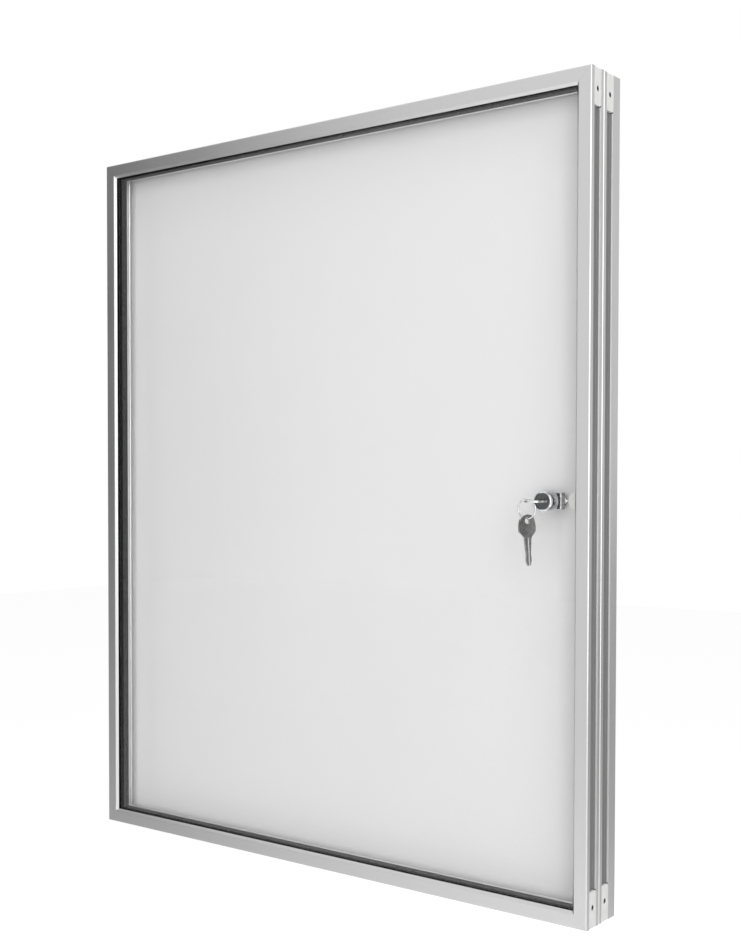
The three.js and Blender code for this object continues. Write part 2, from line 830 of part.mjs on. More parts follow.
function camGeometry() {
  const tipX = camLength - camTipRadius;
  const outline = new THREE.Shape();
  outline.absarc(lockX, lockZ, camHubRadius, -Math.PI / 2, Math.PI / 2, false);
  outline.absarc(lockX - tipX, lockZ, camTipRadius, Math.PI / 2, 3 * Math.PI / 2, false);
  outline.closePath();
  const hole = plugTailHalfWidth + seatGap;
  outline.holes.push(new THREE.Path([
    new THREE.Vector2(lockX - hole, lockZ - hole),
    new THREE.Vector2(lockX - hole, lockZ + hole),
    new THREE.Vector2(lockX + hole, lockZ + hole),
    new THREE.Vector2(lockX + hole, lockZ - hole),
  ]));
  return plateAlongY(outline, camFrontY, camBackY);
}

function camScrewGeometry() {
  const headBackY = camScrewHeadY + camScrewHeadThickness;
  return turnedOnLockAxis([
    [0, camScrewHeadY - camScrewLength],
    [camScrewRadius, camScrewHeadY - camScrewLength],
    [camScrewRadius, camScrewHeadY],
    [camScrewHeadRadius, camScrewHeadY],
    [camScrewHeadRadius, headBackY],
    [0, headBackY],
  ], roundSegments);
}

addPiece('lock_plug', plugGeometry(), darkChrome);
addPiece('lock_cam', camGeometry(), zincSteel);
addPiece('cam_screw', camScrewGeometry(), screwSteel);

// Keeper: a nylon tongue behind the right-hand case lip, pegged through it

function keeperGeometry() {
  const noseRadius = keeperHeight / 2;
  const noseX = lockX + keeperNoseFromAxis + noseRadius;
  const rootX = halfWidth - railWidth;
  const rootEndX = rootX + keeperRootWidth;
  const rootHalf = keeperRootHeight / 2;
  const outline = new THREE.Shape();
  outline.moveTo(rootEndX, lockZ - rootHalf);
  outline.lineTo(rootEndX, lockZ + rootHalf);
  outline.lineTo(rootX, lockZ + rootHalf);
  outline.lineTo(rootX, lockZ + noseRadius);
  outline.absarc(noseX, lockZ, noseRadius, Math.PI / 2, 3 * Math.PI / 2, false);
  outline.lineTo(rootX, lockZ - noseRadius);
  outline.lineTo(rootX, lockZ - rootHalf);
  const tongue = plateAlongY(outline, keeperFrontY, keeperBackY);
  const pegFrontY = caseFrontY + seatGap;
  const pegs = [-1, 1].map((end) => rodAlongY(
    keeperPegRadius, keeperPegX, pegFrontY, keeperBackY - seatGap, lockZ + end * keeperPegFromMiddle,
  ));
  return join(tongue, ...pegs);
}

addPiece('keeper', keeperGeometry(), whiteNylon);

// Keys. A key is drawn flat, with the end of its bow at the local origin and its blade along +y.

function keyOutline() {
  const halfBow = bowWidth / 2;
  const halfRoot = bladeRootWidth / 2;
  const rootAt = bowLength + shoulderLength;
  const [topAcross, topAlong] = bowTopShares;
  const [shoulderAlong, shoulderAcross] = bowShoulderShares;
  const lower = rootAt - bowWidestAt;
  const outline = new THREE.Shape();
  const tipHalf = bladeTipWidth / 2;
  outline.moveTo(0, 0);
  outline.bezierCurveTo(
    halfBow * (1 - topAcross), 0, halfBow, bowWidestAt * topAlong, halfBow, bowWidestAt,
  );
  outline.bezierCurveTo(
    halfBow, bowWidestAt + lower * shoulderAlong,
    halfRoot, rootAt - lower * (1 - shoulderAcross), halfRoot, rootAt,
  );
  outline.lineTo(bladeWaistWidth / 2, bladeWaistAt);
  outline.lineTo(bladeNoseWidth / 2, bladeNoseAt);
  outline.lineTo(tipHalf, keyLength);
  outline.lineTo(-tipHalf, keyLength);
  outline.lineTo(-bladeNoseWidth / 2, bladeNoseAt);
  outline.lineTo(-bladeWaistWidth / 2, bladeWaistAt);
  outline.lineTo(-halfRoot, rootAt);
  outline.bezierCurveTo(
    -halfRoot, rootAt - lower * (1 - shoulderAcross),
    -halfBow, bowWidestAt + lower * shoulderAlong, -halfBow, bowWidestAt,
  );
  outline.bezierCurveTo(
    -halfBow, bowWidestAt * topAlong, -halfBow * (1 - topAcross), 0, 0, 0,
  );
  const hole = new THREE.Path();
  hole.absarc(0, keyHoleFromEnd, keyHoleRadius, 0, 2 * Math.PI, true);
  outline.holes.push(hole);
  return outline;
}

function keyGeometry() {
  const plate = new THREE.ExtrudeGeometry(keyOutline(), {
    depth: keyThickness, bevelEnabled: false, curveSegments: roundSegments,
  }).translate(0, 0, -keyThickness / 2);
  const floor = keyThickness / 2 - keyGrooveDepth;
  const grooves = [-1, 1].map((face) => {
    const near = face * floor;
    const far = face * (keyThickness / 2 + cutOverrun);
    return block(
      -keyGrooveWidth / 2, keyGrooveWidth / 2, bowLength, keyLength + cutOverrun,
      Math.min(near, far), Math.max(near, far),
    );
  });
  return cut(plate, ...grooves);
}

const key = addPiece('key', keyGeometry(), nickel);
key.position.set(lockX, keyHoleY - keyHoleFromEnd, lockZ);

const ring = addPiece(
  'key_ring',
  new THREE.TorusGeometry(ringRadius, ringWireRadius, wireSegments, ringSegments).rotateX(Math.PI / 2),
  nickel,
);
ring.position.set(ringX, keyHoleY, ringZ);

const spareHoleZ = ringZ - ringRadius - (keyHoleRadius - ringWireRadius - spareSlack);
const spareForm = keyGeometry()
  .translate(0, -keyHoleFromEnd, 0)
  .rotateZ(-spareLean)
  .rotateX(-Math.PI / 2)
  .rotateZ(spareTurn);
const spare = addPiece('spare_key', spareForm, nickel);
spare.position.set(ringX, keyHoleY, spareHoleZ);

export default board;
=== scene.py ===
import math

import bmesh
import bpy
from bpy.props import FloatProperty, FloatVectorProperty, IntProperty, PointerProperty
from mathutils import Matrix, Vector


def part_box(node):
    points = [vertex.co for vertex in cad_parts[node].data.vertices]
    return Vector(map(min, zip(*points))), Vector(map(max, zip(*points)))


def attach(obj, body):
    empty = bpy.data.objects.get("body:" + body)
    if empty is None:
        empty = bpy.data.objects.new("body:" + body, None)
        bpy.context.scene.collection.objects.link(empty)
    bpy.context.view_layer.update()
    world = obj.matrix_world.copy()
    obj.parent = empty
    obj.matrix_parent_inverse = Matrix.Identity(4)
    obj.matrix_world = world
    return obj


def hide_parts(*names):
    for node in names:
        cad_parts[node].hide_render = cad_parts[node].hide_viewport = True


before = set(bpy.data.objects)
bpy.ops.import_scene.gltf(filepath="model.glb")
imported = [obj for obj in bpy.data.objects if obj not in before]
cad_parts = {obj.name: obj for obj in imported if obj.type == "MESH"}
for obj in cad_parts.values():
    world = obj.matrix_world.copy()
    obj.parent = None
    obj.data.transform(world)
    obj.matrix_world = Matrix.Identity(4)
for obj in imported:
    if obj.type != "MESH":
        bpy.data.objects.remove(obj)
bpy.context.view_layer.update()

bl_info = {
    "name": "Lockable notice board",
    "version": (1, 0, 0),
    "blender": (4, 5, 0),
    "location": "View3D > Sidebar > Notice board",
    "description": "Bars, glazing, panel, lock, keys and fittings of a wall notice board",
    "category": "Object",
}

MM = 0.001

# Where the two frames and the lock lie

DOOR_LOW, DOOR_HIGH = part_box("door_left_stile")
DOOR_FRONT = DOOR_LOW.y
CASE_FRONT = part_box("case_left_stile")[0].y
HALF_WIDTH = -DOOR_LOW.x
HALF_HEIGHT = DOOR_HIGH.z
LOCK_LOW, LOCK_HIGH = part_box("lock_housing")
LOCK_X = (LOCK_LOW.x + LOCK_HIGH.x) / 2
LOCK_Z = (LOCK_LOW.z + LOCK_HIGH.z) / 2

# Each side of a frame: name, edge, turn about Y from the left side, reach across and along
SIDES = (
    ("left_stile", "left", 0.0, HALF_WIDTH, HALF_HEIGHT),
    ("top_rail", "top", math.pi / 2, HALF_HEIGHT, HALF_WIDTH),
    ("right_stile", "right", math.pi, HALF_WIDTH, HALF_HEIGHT),
    ("bottom_rail", "bottom", -math.pi / 2, HALF_HEIGHT, HALF_WIDTH),
)
CORNERS = ("top_left", "top_right", "bottom_right", "bottom_left")

# Die lines on the bars, about 0.4 mm apart and 120 mm long, as numbers per metre along and across
DIE_LINES = (8, 2500, 1)


def linear(hex_colour):
    """An sRGB hex colour as the linear values that a shader or a colour property takes."""
    channels = [int(hex_colour[i:i + 2], 16) / 255 for i in (1, 3, 5)]
    return tuple(c / 12.92 if c <= 0.04045 else ((c + 0.055) / 1.055) ** 2.4 for c in channels)


def length(name, description, millimetres):
    return FloatProperty(name=name, description=description, default=millimetres * MM, unit="LENGTH")


def tint(name, description, hex_colour):
    return FloatVectorProperty(
        name=name, description=description, subtype="COLOR", size=3,
        min=0, max=1, default=linear(hex_colour))


def number(name, description, value):
    return FloatProperty(name=name, description=description, default=value)


# Sizes and colours that a user would change


class BarSettings(bpy.types.PropertyGroup):
    rail_width: length("Bar width", "Width of every bar's face", 13.3)
    outer_chamfer: length("Outer chamfer", "Chamfer along the outer front edge", 0.8)
    inner_bevel: length("Inner bevel", "Bevel of the door's bars towards the pane", 2.1)
    rear_chamfer: length("Rear chamfer", "Small chamfer along the other long edges", 0.4)
    groove_width: length("Groove width", "Width of the groove along the outer side", 11)
    groove_depth: length("Groove depth", "Depth of the groove's floor", 2.7)
    lip_width: length("Lip width", "Width of the shallow lips of the groove", 1.4)
    lip_depth: length("Lip depth", "How far the lips lie below the side face", 0.7)
    edge_radius: length("Edge radius", "Rounding that the die leaves on long edges", 0.22)
    mitre_gap: length("Mitre gap", "How far each mitred end stops short of the corner", 0.04)
    colour: tint("Aluminium", "Colour of the silver anodised bars", "#d4d4d4")


class CornerSettings(bpy.types.PropertyGroup):
    edge_radius: length("Edge radius", "Rounding of the connectors' moulded edges", 0.3)
    colour: tint("Connector grey", "Colour of the corner connectors", "#f4f4f2")
    screw_radius: length("Screw radius", "Radius of the corner screws", 1.95)
    screw_length: length("Screw length", "Length of the corner screws", 4.2)
    screw_sunk: length("Screw sunk", "How far a screw's end lies below the connector's face", 0.2)
    socket_radius: length("Socket radius", "Radius of the screw's six-sided socket", 1.15)


class GlazingSettings(bpy.types.PropertyGroup):
    gasket_colour: tint("Gasket", "Colour of the rubber gasket", "#19191a")
    pane_tint: tint("Pane tint", "Tint of light through the pane", "#fdfdfd")
    pane_edge: length("Pane edge", "Polished chamfer round the pane", 0.3)


class PanelSettings(bpy.types.PropertyGroup):
    panel_colour: tint("Panel enamel", "Colour of the magnetic panel", "#e6e6e6")
    board_colour: tint("Hardboard", "Colour of the backing board", "#86664a")


class LockSettings(bpy.types.PropertyGroup):
    steps: IntProperty(
        name="Steps round", description="Facets round the turned pieces", default=96, min=24, max=256)
    flange_radius: length("Bezel radius", "Radius of the domed bezel", 9.6)
    mouth_radius: length("Mouth radius", "Radius of the recess that the plug lies in", 6.8)
    barrel_radius: length("Barrel radius", "Radius of the threaded barrel", 5.5)
    thread_pitch: length("Thread pitch", "Distance between the barrel's threads", 1.0)
    thread_depth: length("Thread depth", "Depth of the barrel's threads", 0.35)
    chrome_colour: tint("Chrome", "Colour of the chrome plating", "#dfe1e3")
    plug_colour: tint("Plug", "Colour of the darker plug", "#606264")


class KeySettings(bpy.types.PropertyGroup):
    edge_radius: length("Edge radius", "Rounding of the keys' stamped edges", 0.18)
    wire_radius: length("Wire radius", "Radius of the ring's wire", 0.6)
    colour: tint("Nickel", "Colour of the tumbled sides of the keys", "#a2a2a1")
    # On the keys this brighter nickel is partly wear on the edges and partly painted highlight; the ring's
    # wire takes it too
    edge_colour: tint("Worn and highlit edges", "Colour of the keys' edges and the ring", "#ececea")


class StageSettings(bpy.types.PropertyGroup):
    floor_below: length("Floor below", "Height of the board's middle above the floor", 1350)
    floor_colour: tint("Floor", "Colour of the pale floor", "#f2f2f2")
    key_watts: number("Main lamp", "Power of the soft lamp at the right in watts", 24)
    front_watts: number("Front lamp", "Power of the wide lamp in front in watts", 71)
    rear_watts: number("Rear lamp", "Power of the wide lamp behind in watts", 28)
    top_watts: number("Top lamp", "Power of the soft lamp overhead in watts", 16)
    sky: number("Room light", "Strength of the even light of the room", 0.22)


# Nodes and trees


def add(tree, kind, settings=None, inputs=None):
    """Adds a node. Its inputs are values, outputs of other nodes, or nodes for their first output."""
    node = tree.nodes.new(kind)
    for name, value in (settings or {}).items():
        setattr(node, name, value)
    for name, value in (inputs or {}).items():
        for item in value if isinstance(value, list) else [value]:
            if isinstance(item, bpy.types.Node):
                item = next(output for output in item.outputs if output.enabled)
            if isinstance(item, bpy.types.NodeSocket):
                tree.links.new(item, node.inputs[name])
            else:
                node.inputs[name].default_value = item
    return node


def reckon(tree, operation, *numbers):
    return add(tree, "ShaderNodeMath", {"operation": operation}, dict(enumerate(numbers)))


def point(tree, x=0.0, y=0.0, z=0.0):
    return add(tree, "ShaderNodeCombineXYZ", None, {"X": x, "Y": y, "Z": z})


def parts_of(tree, vector):
    return add(tree, "ShaderNodeSeparateXYZ", None, {"Vector": vector}).outputs


def new_tree(name, sizes, others):
    """A geometry node tree with a mesh in and out, named sizes and other inputs, and those inputs."""
    tree = bpy.data.node_groups.new(name, "GeometryNodeTree")
    tree.interface.new_socket(name="Mesh", in_out="INPUT", socket_type="NodeSocketGeometry")
    tree.interface.new_socket(name="Mesh", in_out="OUTPUT", socket_type="NodeSocketGeometry")
    for socket, kind in {**dict.fromkeys(sizes, "NodeSocketFloat"), **others}.items():
        tree.interface.new_socket(name=socket, in_out="INPUT", socket_type=kind)
    return tree, add(tree, "NodeGroupInput").outputs


def end_tree(tree, geometry, material):
    """Makes what the tree holds real and gives it its material."""
    real = add(tree, "GeometryNodeRealizeInstances", None, {"Geometry": geometry})
    painted = add(tree, "GeometryNodeSetMaterial", None, {
        "Geometry": real, "Material": material})
    add(tree, "NodeGroupOutput", None, {"Mesh": painted})
    return tree


# Meshes and pieces


def link_object(name, data):
    thing = bpy.data.objects.new(name, data)
    bpy.context.scene.collection.objects.link(thing)
    return thing


def mesh_from(form, name):
    """The form as a mesh. The form is used up."""
    mesh = bpy.data.meshes.new(name)
    form.to_mesh(mesh)
    form.free()
    return mesh


def baked(piece):
    """Turns the piece's modifiers into its own plain mesh."""
    bpy.context.view_layer.update()
    graph = bpy.context.evaluated_depsgraph_get()
    mesh = bpy.data.meshes.new_from_object(
        piece.evaluated_get(graph), preserve_all_data_layers=True, depsgraph=graph)
    piece.modifiers.clear()
    piece.data = mesh
    return piece


def grown(name, mesh, tree, values):
    """A piece that a geometry node tree makes from mesh."""
    piece = link_object(name, mesh)
    modifier = piece.modifiers.new(tree.name, "NODES")
    modifier.node_group = tree
    for item in tree.interface.items_tree:
        if item.in_out == "INPUT" and item.name in values:
            modifier[item.identifier] = values[item.name]
    baked(piece)
    if not piece.data.polygons:
        raise RuntimeError(f"{tree.name} made nothing for {name}")
    return piece


def smoothed(piece, angle=35):
    """Smooth shading that keeps edges sharper than angle, with flat faces left flat."""
    piece.data.shade_smooth()
    piece.data.set_sharp_from_angle(angle=math.radians(angle))
    piece.modifiers.new("Even shading", "WEIGHTED_NORMAL").keep_sharp = True
    return baked(piece)


def placed(piece, finish, slot, body, *nodes, second=None, chosen=None):
    """Gives a finished piece its material and its body, and hides the CAD nodes that it stands for.

    Faces that chosen picks take the second material.
    """
    piece.data.materials.clear()
    piece.data.materials.append(finish)
    if second:
        piece.data.materials.append(second)
    for face in piece.data.polygons:
        face.material_index = int(bool(second) and chosen(face))
    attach(piece, body)
    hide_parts(*nodes)


def eased_copy(node, name, radius, segments=2):
    """A copy of a CAD solid with its triangles merged and its edges rounded."""
    form = bmesh.new()
    form.from_mesh(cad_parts[node].data)
    bmesh.ops.remove_doubles(form, verts=form.verts, dist=0.001 * MM)
    bmesh.ops.dissolve_limit(
        form, angle_limit=math.radians(1), verts=form.verts, edges=form.edges, delimit={"NORMAL"})
    piece = link_object(name, mesh_from(form, name))
    bevel = piece.modifiers.new("Edges", "BEVEL")
    bevel.width = radius
    bevel.segments = segments
    bevel.limit_method = "ANGLE"
    bevel.angle_limit = math.radians(30)
    bevel.use_clamp_overlap = True
    baked(piece)
    return smoothed(piece)


def eased_outline(points, radius, steps=3):
    """A closed outline with every corner turned into a small arc."""
    longest_share = 0.4
    outline = []
    for i, corner in enumerate(points):
        corner = Vector(corner)
        back = Vector(points[i - 1]) - corner
        on = Vector(points[(i + 1) % len(points)]) - corner
        start = corner + back.normalized() * min(radius, back.length * longest_share)
        end = corner + on.normalized() * min(radius, on.length * longest_share)
        for step in range(steps + 1):
            share = step / steps
            outline.append((1 - share) ** 2 * start + 2 * share * (1 - share) * corner + share ** 2 * end)
    return outline


def section_mesh(name, outline, chambers=()):
    """A flat filled section in the XY plane, with open chambers."""
    form = bmesh.new()
    for loop in (outline, *chambers):
        corners = [form.verts.new((x, y, 0)) for x, y in loop]
        for i, corner in enumerate(corners):
            form.edges.new((corners[i - 1], corner))
    bmesh.ops.triangle_fill(form, edges=form.edges[:], use_beauty=True, normal=(0, 0, 1))
    return mesh_from(form, name)


def on_circle(radius, turn):
    return radius * math.cos(turn), radius * math.sin(turn)


def spun(name, profile, steps, flat_from_axis=None, flat_radius=None):
    """A closed turned form about the lock's axis from (radius, y) pairs.

    A closed profile ends where it starts. Rings up to flat_radius are cut flat on two sides.
    """
    form = bmesh.new()
    rings = []
    closed = profile[0] == profile[-1]
    for radius, y in profile[:-1] if closed else profile:
        if radius == 0:
            rings.append([form.verts.new((LOCK_X, y, LOCK_Z))] * steps)
            continue
        ring = []
        for step in range(steps):
            x, z = on_circle(radius, 2 * math.pi * step / steps)
            if flat_from_axis and radius <= flat_radius:
                x = max(-flat_from_axis, min(flat_from_axis, x))
            ring.append(form.verts.new((LOCK_X + x, y, LOCK_Z + z)))
        rings.append(ring)
    pairs = zip(rings, rings[1:] + rings[:1]) if closed else zip(rings, rings[1:])
    for first, second in pairs:
        for step in range(steps):
            on = (step + 1) % steps
            # On the axis two corners are one point, which is kept once
            form.faces.new(list(dict.fromkeys((first[step], first[on], second[on], second[step]))))
    bmesh.ops.recalc_face_normals(form, faces=form.faces)
    return link_object(name, mesh_from(form, name))


# What the materials are made of


def empty_finish(name):
    finish = bpy.data.materials.new(name)
    finish.use_nodes = True
    finish.node_tree.nodes.clear()
    return finish, finish.node_tree


def new_finish(name, constants):
    """A material with one Principled shader. Returns the material, its tree and the shader."""
    finish, tree = empty_finish(name)
    shader = add(tree, "ShaderNodeBsdfPrincipled", None, constants)
    add(tree, "ShaderNodeOutputMaterial", None, {"Surface": shader})
    return finish, tree, shader


def shade(colour, factor=1):
    """An opaque colour from linear values or sRGB hex, made darker or lighter by factor."""
    channels = linear(colour) if isinstance(colour, str) else colour
    return (*[min(1, c * factor) for c in channels], 1)


def on_piece(tree):
    return add(tree, "ShaderNodeTexCoord").outputs["Object"]


def on_bar(tree):
    return add(tree, "ShaderNodeUVMap", {"uv_map": "along_bar"}).outputs["UV"]


def noise(tree, place, scale, detail, roughness=0.5):
    return add(tree, "ShaderNodeTexNoise", None, {
        "Vector": place, "Scale": scale, "Detail": detail, "Roughness": roughness})


def streaks(tree, place, stretch, detail, roughness=0.5, turn=(0, 0, 0)):
    """Noise drawn out along the direction whose number in stretch is small."""
    drawn = add(tree, "ShaderNodeMapping", None, {"Vector": place, "Rotation": turn, "Scale": stretch})
    return noise(tree, drawn, 1, detail, roughness)


def blend(tree, share, first, second):
    return add(tree, "ShaderNodeMix", {"data_type": "FLOAT"}, {
        "Factor": share, "A": first, "B": second})


def paint(tree, shader, share, dark, light):
    """Base colour from dark to light, by share."""
    mix = add(tree, "ShaderNodeMix", {"data_type": "RGBA"}, {"Factor": share, "A": dark, "B": light})
    tree.links.new(mix.outputs["Result"], shader.inputs["Base Color"])


def roughen(tree, shader, share, smoothest, roughest, low=0.0, high=1.0):
    """Roughness from smoothest to roughest, while share goes from low to high."""
    rough = add(tree, "ShaderNodeMapRange", None, {
        "Value": share, "From Min": low, "From Max": high, "To Min": smoothest, "To Max": roughest})
    tree.links.new(rough.outputs["Result"], shader.inputs["Roughness"])


def emboss(tree, shader, height, strength, distance):
    """Relief that rises by distance where height is 1."""
    relief = add(tree, "ShaderNodeBump", None, {
        "Strength": strength, "Distance": distance, "Height": height})
    tree.links.new(relief.outputs["Normal"], shader.inputs["Normal"])


# Materials. A noise's scale is the number of its waves in a metre


def anodised_aluminium(colour):
    # Extruded aluminium, etched and clear anodised: satin grey metal, with faint lines that the die
    # leaves along the bar
    finish, tree, shader = new_finish("anodised_aluminium", {"Metallic": 1})
    place = on_bar(tree)
    lines = streaks(tree, place, DIE_LINES, 3, 0.6)
    # Slow change of tone along the bar, as anodising leaves it, over about 80 mm
    cloud = noise(tree, place, 12, 2)
    tone = blend(tree, 0.35, lines, cloud)
    paint(tree, shader, tone, shade(colour, 0.95), shade(colour, 1.04))
    roughen(tree, shader, tone, 0.28, 0.34, 0.3, 0.7)
    emboss(tree, shader, lines, 0.06, 0.01 * MM)
    return finish


def groove_shaded_aluminium():
    # Deep in the grooves the aluminium is duller and rougher, and its darker grey is painted shade from the
    # groove's walls
    finish, tree, shader = new_finish("groove_shaded_aluminium", {"Metallic": 0.35})
    lines = streaks(tree, on_bar(tree), DIE_LINES, 3, 0.6)
    paint(tree, shader, lines, shade("#8a8a8a"), shade("#969696"))
    roughen(tree, shader, lines, 0.45, 0.58)
    return finish


def moulded_grey_plastic(colour):
    # Moulded polyamide: pale and matt, with the fine spark-eroded grain of the mould and a faint cloudiness
    finish, tree, shader = new_finish("moulded_grey_plastic", {"IOR": 1.53})
    place = on_piece(tree)
    # Grain of 0.5 mm, coarser than the real one so that it shows
    grain = noise(tree, place, 2000, 2)
    cloud = noise(tree, place, 160, 3)
    paint(tree, shader, cloud, shade(colour, 0.93), shade(colour, 1.04))
    roughen(tree, shader, grain, 0.42, 0.62)
    emboss(tree, shader, grain, 0.25, 0.03 * MM)
    return finish


def screw_steel():
    # Blackened set screw: dark oiled steel with turning marks and lighter rubbed spots
    finish, tree, shader = new_finish("screw_steel", {"Metallic": 1, "Roughness": 0.42})
    wear = noise(tree, on_piece(tree), 1400, 4)
    paint(tree, shader, wear, shade("#58595b"), shade("#8a8b8d"))
    emboss(tree, shader, wear, 0.2, 0.02 * MM)
    return finish


def black_rubber(colour, place_on, stretch):
    # Extruded EPDM rubber: soft black that scatters a grey sheen, with faint lines along the strip and dust
    finish, tree, shader = new_finish("black_rubber", {
        "Roughness": 0.75, "IOR": 1.5, "Specular IOR Level": 0.08})
    place = place_on(tree)
    lines = streaks(tree, place, stretch, 2)
    # Dust specks of about 0.8 mm
    dust = noise(tree, place, 1200, 3)
    settled = add(tree, "ShaderNodeMapRange", None, {
        "Value": dust, "From Min": 0.58, "From Max": 0.75, "To Min": 0, "To Max": 0.35})
    paint(tree, shader, settled, shade(colour), shade("#2b2b2b"))
    emboss(tree, shader, lines, 0.3, 0.04 * MM)
    return finish


def clear_pane(colour):
    # Cast acrylic sheet: clear and glossy, with a slight unevenness that bends what it mirrors
    finish, tree, shader = new_finish("clear_pane", {
        "Base Color": shade(colour), "Transmission Weight": 1, "Roughness": 0.02, "IOR": 1.49})
    wave = noise(tree, on_piece(tree), 7, 1)
    emboss(tree, shader, wave, 0.08, 0.3 * MM)
    # Light from the lamps passes straight through, as it does through a real pane
    rays = add(tree, "ShaderNodeLightPath").outputs
    passes = reckon(tree, "MAXIMUM", rays["Is Shadow Ray"], rays["Is Diffuse Ray"])
    through = add(tree, "ShaderNodeBsdfTransparent", None, {"Color": shade("#fafafa")})
    surface = add(tree, "ShaderNodeMixShader", None, {
        0: passes, 1: shader, 2: through})
    output = next(node for node in tree.nodes if node.type == "OUTPUT_MATERIAL")
    tree.links.new(surface.outputs["Shader"], output.inputs["Surface"])
    return finish


def white_enamelled_steel(colour):
    # Coil-coated steel: white enamel with a soft gloss and the slight orange peel of the coating
    finish, tree, shader = new_finish("white_enamelled_steel", {"IOR": 1.5})
    place = on_piece(tree)
    # Orange peel of about 2.5 mm
    peel = noise(tree, place, 400, 1)
    cloud = noise(tree, place, 5, 3)
    paint(tree, shader, cloud, shade(colour, 0.975), shade(colour, 1.02))
    roughen(tree, shader, cloud, 0.27, 0.36)
    emboss(tree, shader, peel, 0.1, 0.02 * MM)
    return finish


def pressed_hardboard(colour):
    # Hardboard: brown pressed wood fibre, flecked with darker and paler fibres
    finish, tree, shader = new_finish("hardboard", {"Roughness": 0.82})
    place = on_piece(tree)
    # Fibres about 0.7 mm wide and 6 mm long, lying both ways
    upright = streaks(tree, place, (1400, 1400, 160), 3)
    lying = streaks(tree, place, (160, 1400, 1400), 3)
    fibre = reckon(tree, "MULTIPLY", upright, lying)
    tone = add(tree, "ShaderNodeMapRange", None, {"Value": fibre, "From Min": 0.12, "From Max": 0.42})
    paint(tree, shader, tone, shade(colour, 0.62), shade(colour, 1.35))
    emboss(tree, shader, fibre, 0.5, 0.08 * MM)
    return finish


def galvanised_steel():
    # Hot-dip galvanised steel: grey zinc with the patchwork of its crystals, each catching light
    # a little differently
    finish, tree, shader = new_finish("galvanised_steel", {"Metallic": 1})
    # Crystals of about 4 mm
    crystals = add(tree, "ShaderNodeTexVoronoi", None, {"Vector": on_piece(tree), "Scale": 250})
    grey = add(tree, "ShaderNodeRGBToBW", None, {"Color": crystals.outputs["Color"]})
    paint(tree, shader, grey, shade("#868b8e"), shade("#b6babc"))
    roughen(tree, shader, grey, 0.36, 0.58)
    return finish


def zinc_plated_steel():
    # Bright zinc plate on pressed steel: pale grey metal with a brushed look and soft wear
    finish, tree, shader = new_finish("zinc_plated_steel", {"Metallic": 1})
    # Brush marks about 0.3 mm apart
    marks = streaks(tree, on_piece(tree), (200, 200, 3300), 3)
    paint(tree, shader, marks, shade("#9fa3a5"), shade("#c6c9ca"))
    roughen(tree, shader, marks, 0.24, 0.42)
    return finish


def chrome_plate(colour):
    # Chrome plate on a polished die casting: a bright mirror with hairline rub marks
    finish, tree, shader = new_finish("chrome_plate", {"Metallic": 1})
    rubs = noise(tree, on_piece(tree), 900, 5, 0.7)
    roughen(tree, shader, rubs, 0.07, 0.16, 0.4, 0.7)
    paint(tree, shader, rubs, shade(colour, 0.95), shade(colour, 1.03))
    return finish


def dark_chrome(colour):
    # Turned brass with a darker nickel plate: fine rings left by the lathe round the lock's axis
    finish, tree, shader = new_finish("dark_chrome", {"Metallic": 1})
    centred = add(tree, "ShaderNodeMapping", {"vector_type": "POINT"}, {
        "Vector": on_piece(tree), "Location": (-LOCK_X, 0, -LOCK_Z)})
    # Rings 0.35 mm apart about the axis
    rings = add(tree, "ShaderNodeTexWave", {
        "wave_type": "RINGS", "rings_direction": "Y", "wave_profile": "SIN"}, {
        "Vector": centred, "Scale": 450, "Distortion": 1.5, "Detail": 2}).outputs["Fac"]
    paint(tree, shader, rings, shade(colour, 0.75), shade(colour, 1.2))
    roughen(tree, shader, rings, 0.2, 0.34)
    emboss(tree, shader, rings, 0.3, 0.02 * MM)
    return finish


def white_nylon():
    # Moulded nylon: warm white with a soft gloss and a little depth
    finish, tree, shader = new_finish("white_nylon", {
        "IOR": 1.53, "Subsurface Weight": 0.15, "Subsurface Radius": (1 * MM, 1 * MM, 1 * MM)})
    cloud = noise(tree, on_piece(tree), 220, 3)
    paint(tree, shader, cloud, shade("#ecece7"), shade("#f6f6f2"))
    roughen(tree, shader, cloud, 0.3, 0.42)
    return finish


def nickel_plate(name, colour, smoothest, roughest):
    # Nickel plate on brass: grey tumbled metal, brighter where it is worn, with fine handling scratches
    finish, tree, shader = new_finish(name, {"Metallic": 1})
    place = on_piece(tree)
    # Scratches about 0.25 mm apart and 4 mm long
    scratches = streaks(tree, place, (4000, 260, 4000), 4, 0.65, (0.3, 0.5, 0.4))
    cloud = noise(tree, place, 260, 2)
    tone = blend(tree, 0.5, scratches, cloud)
    paint(tree, shader, tone, shade(colour, 0.7), shade(colour, 1.25))
    roughen(tree, shader, tone, smoothest, roughest, 0.3, 0.7)
    emboss(tree, shader, scratches, 0.15, 0.015 * MM)
    return finish


# Bars: an extruded section with both ends mitred, and seats milled for the corner connectors


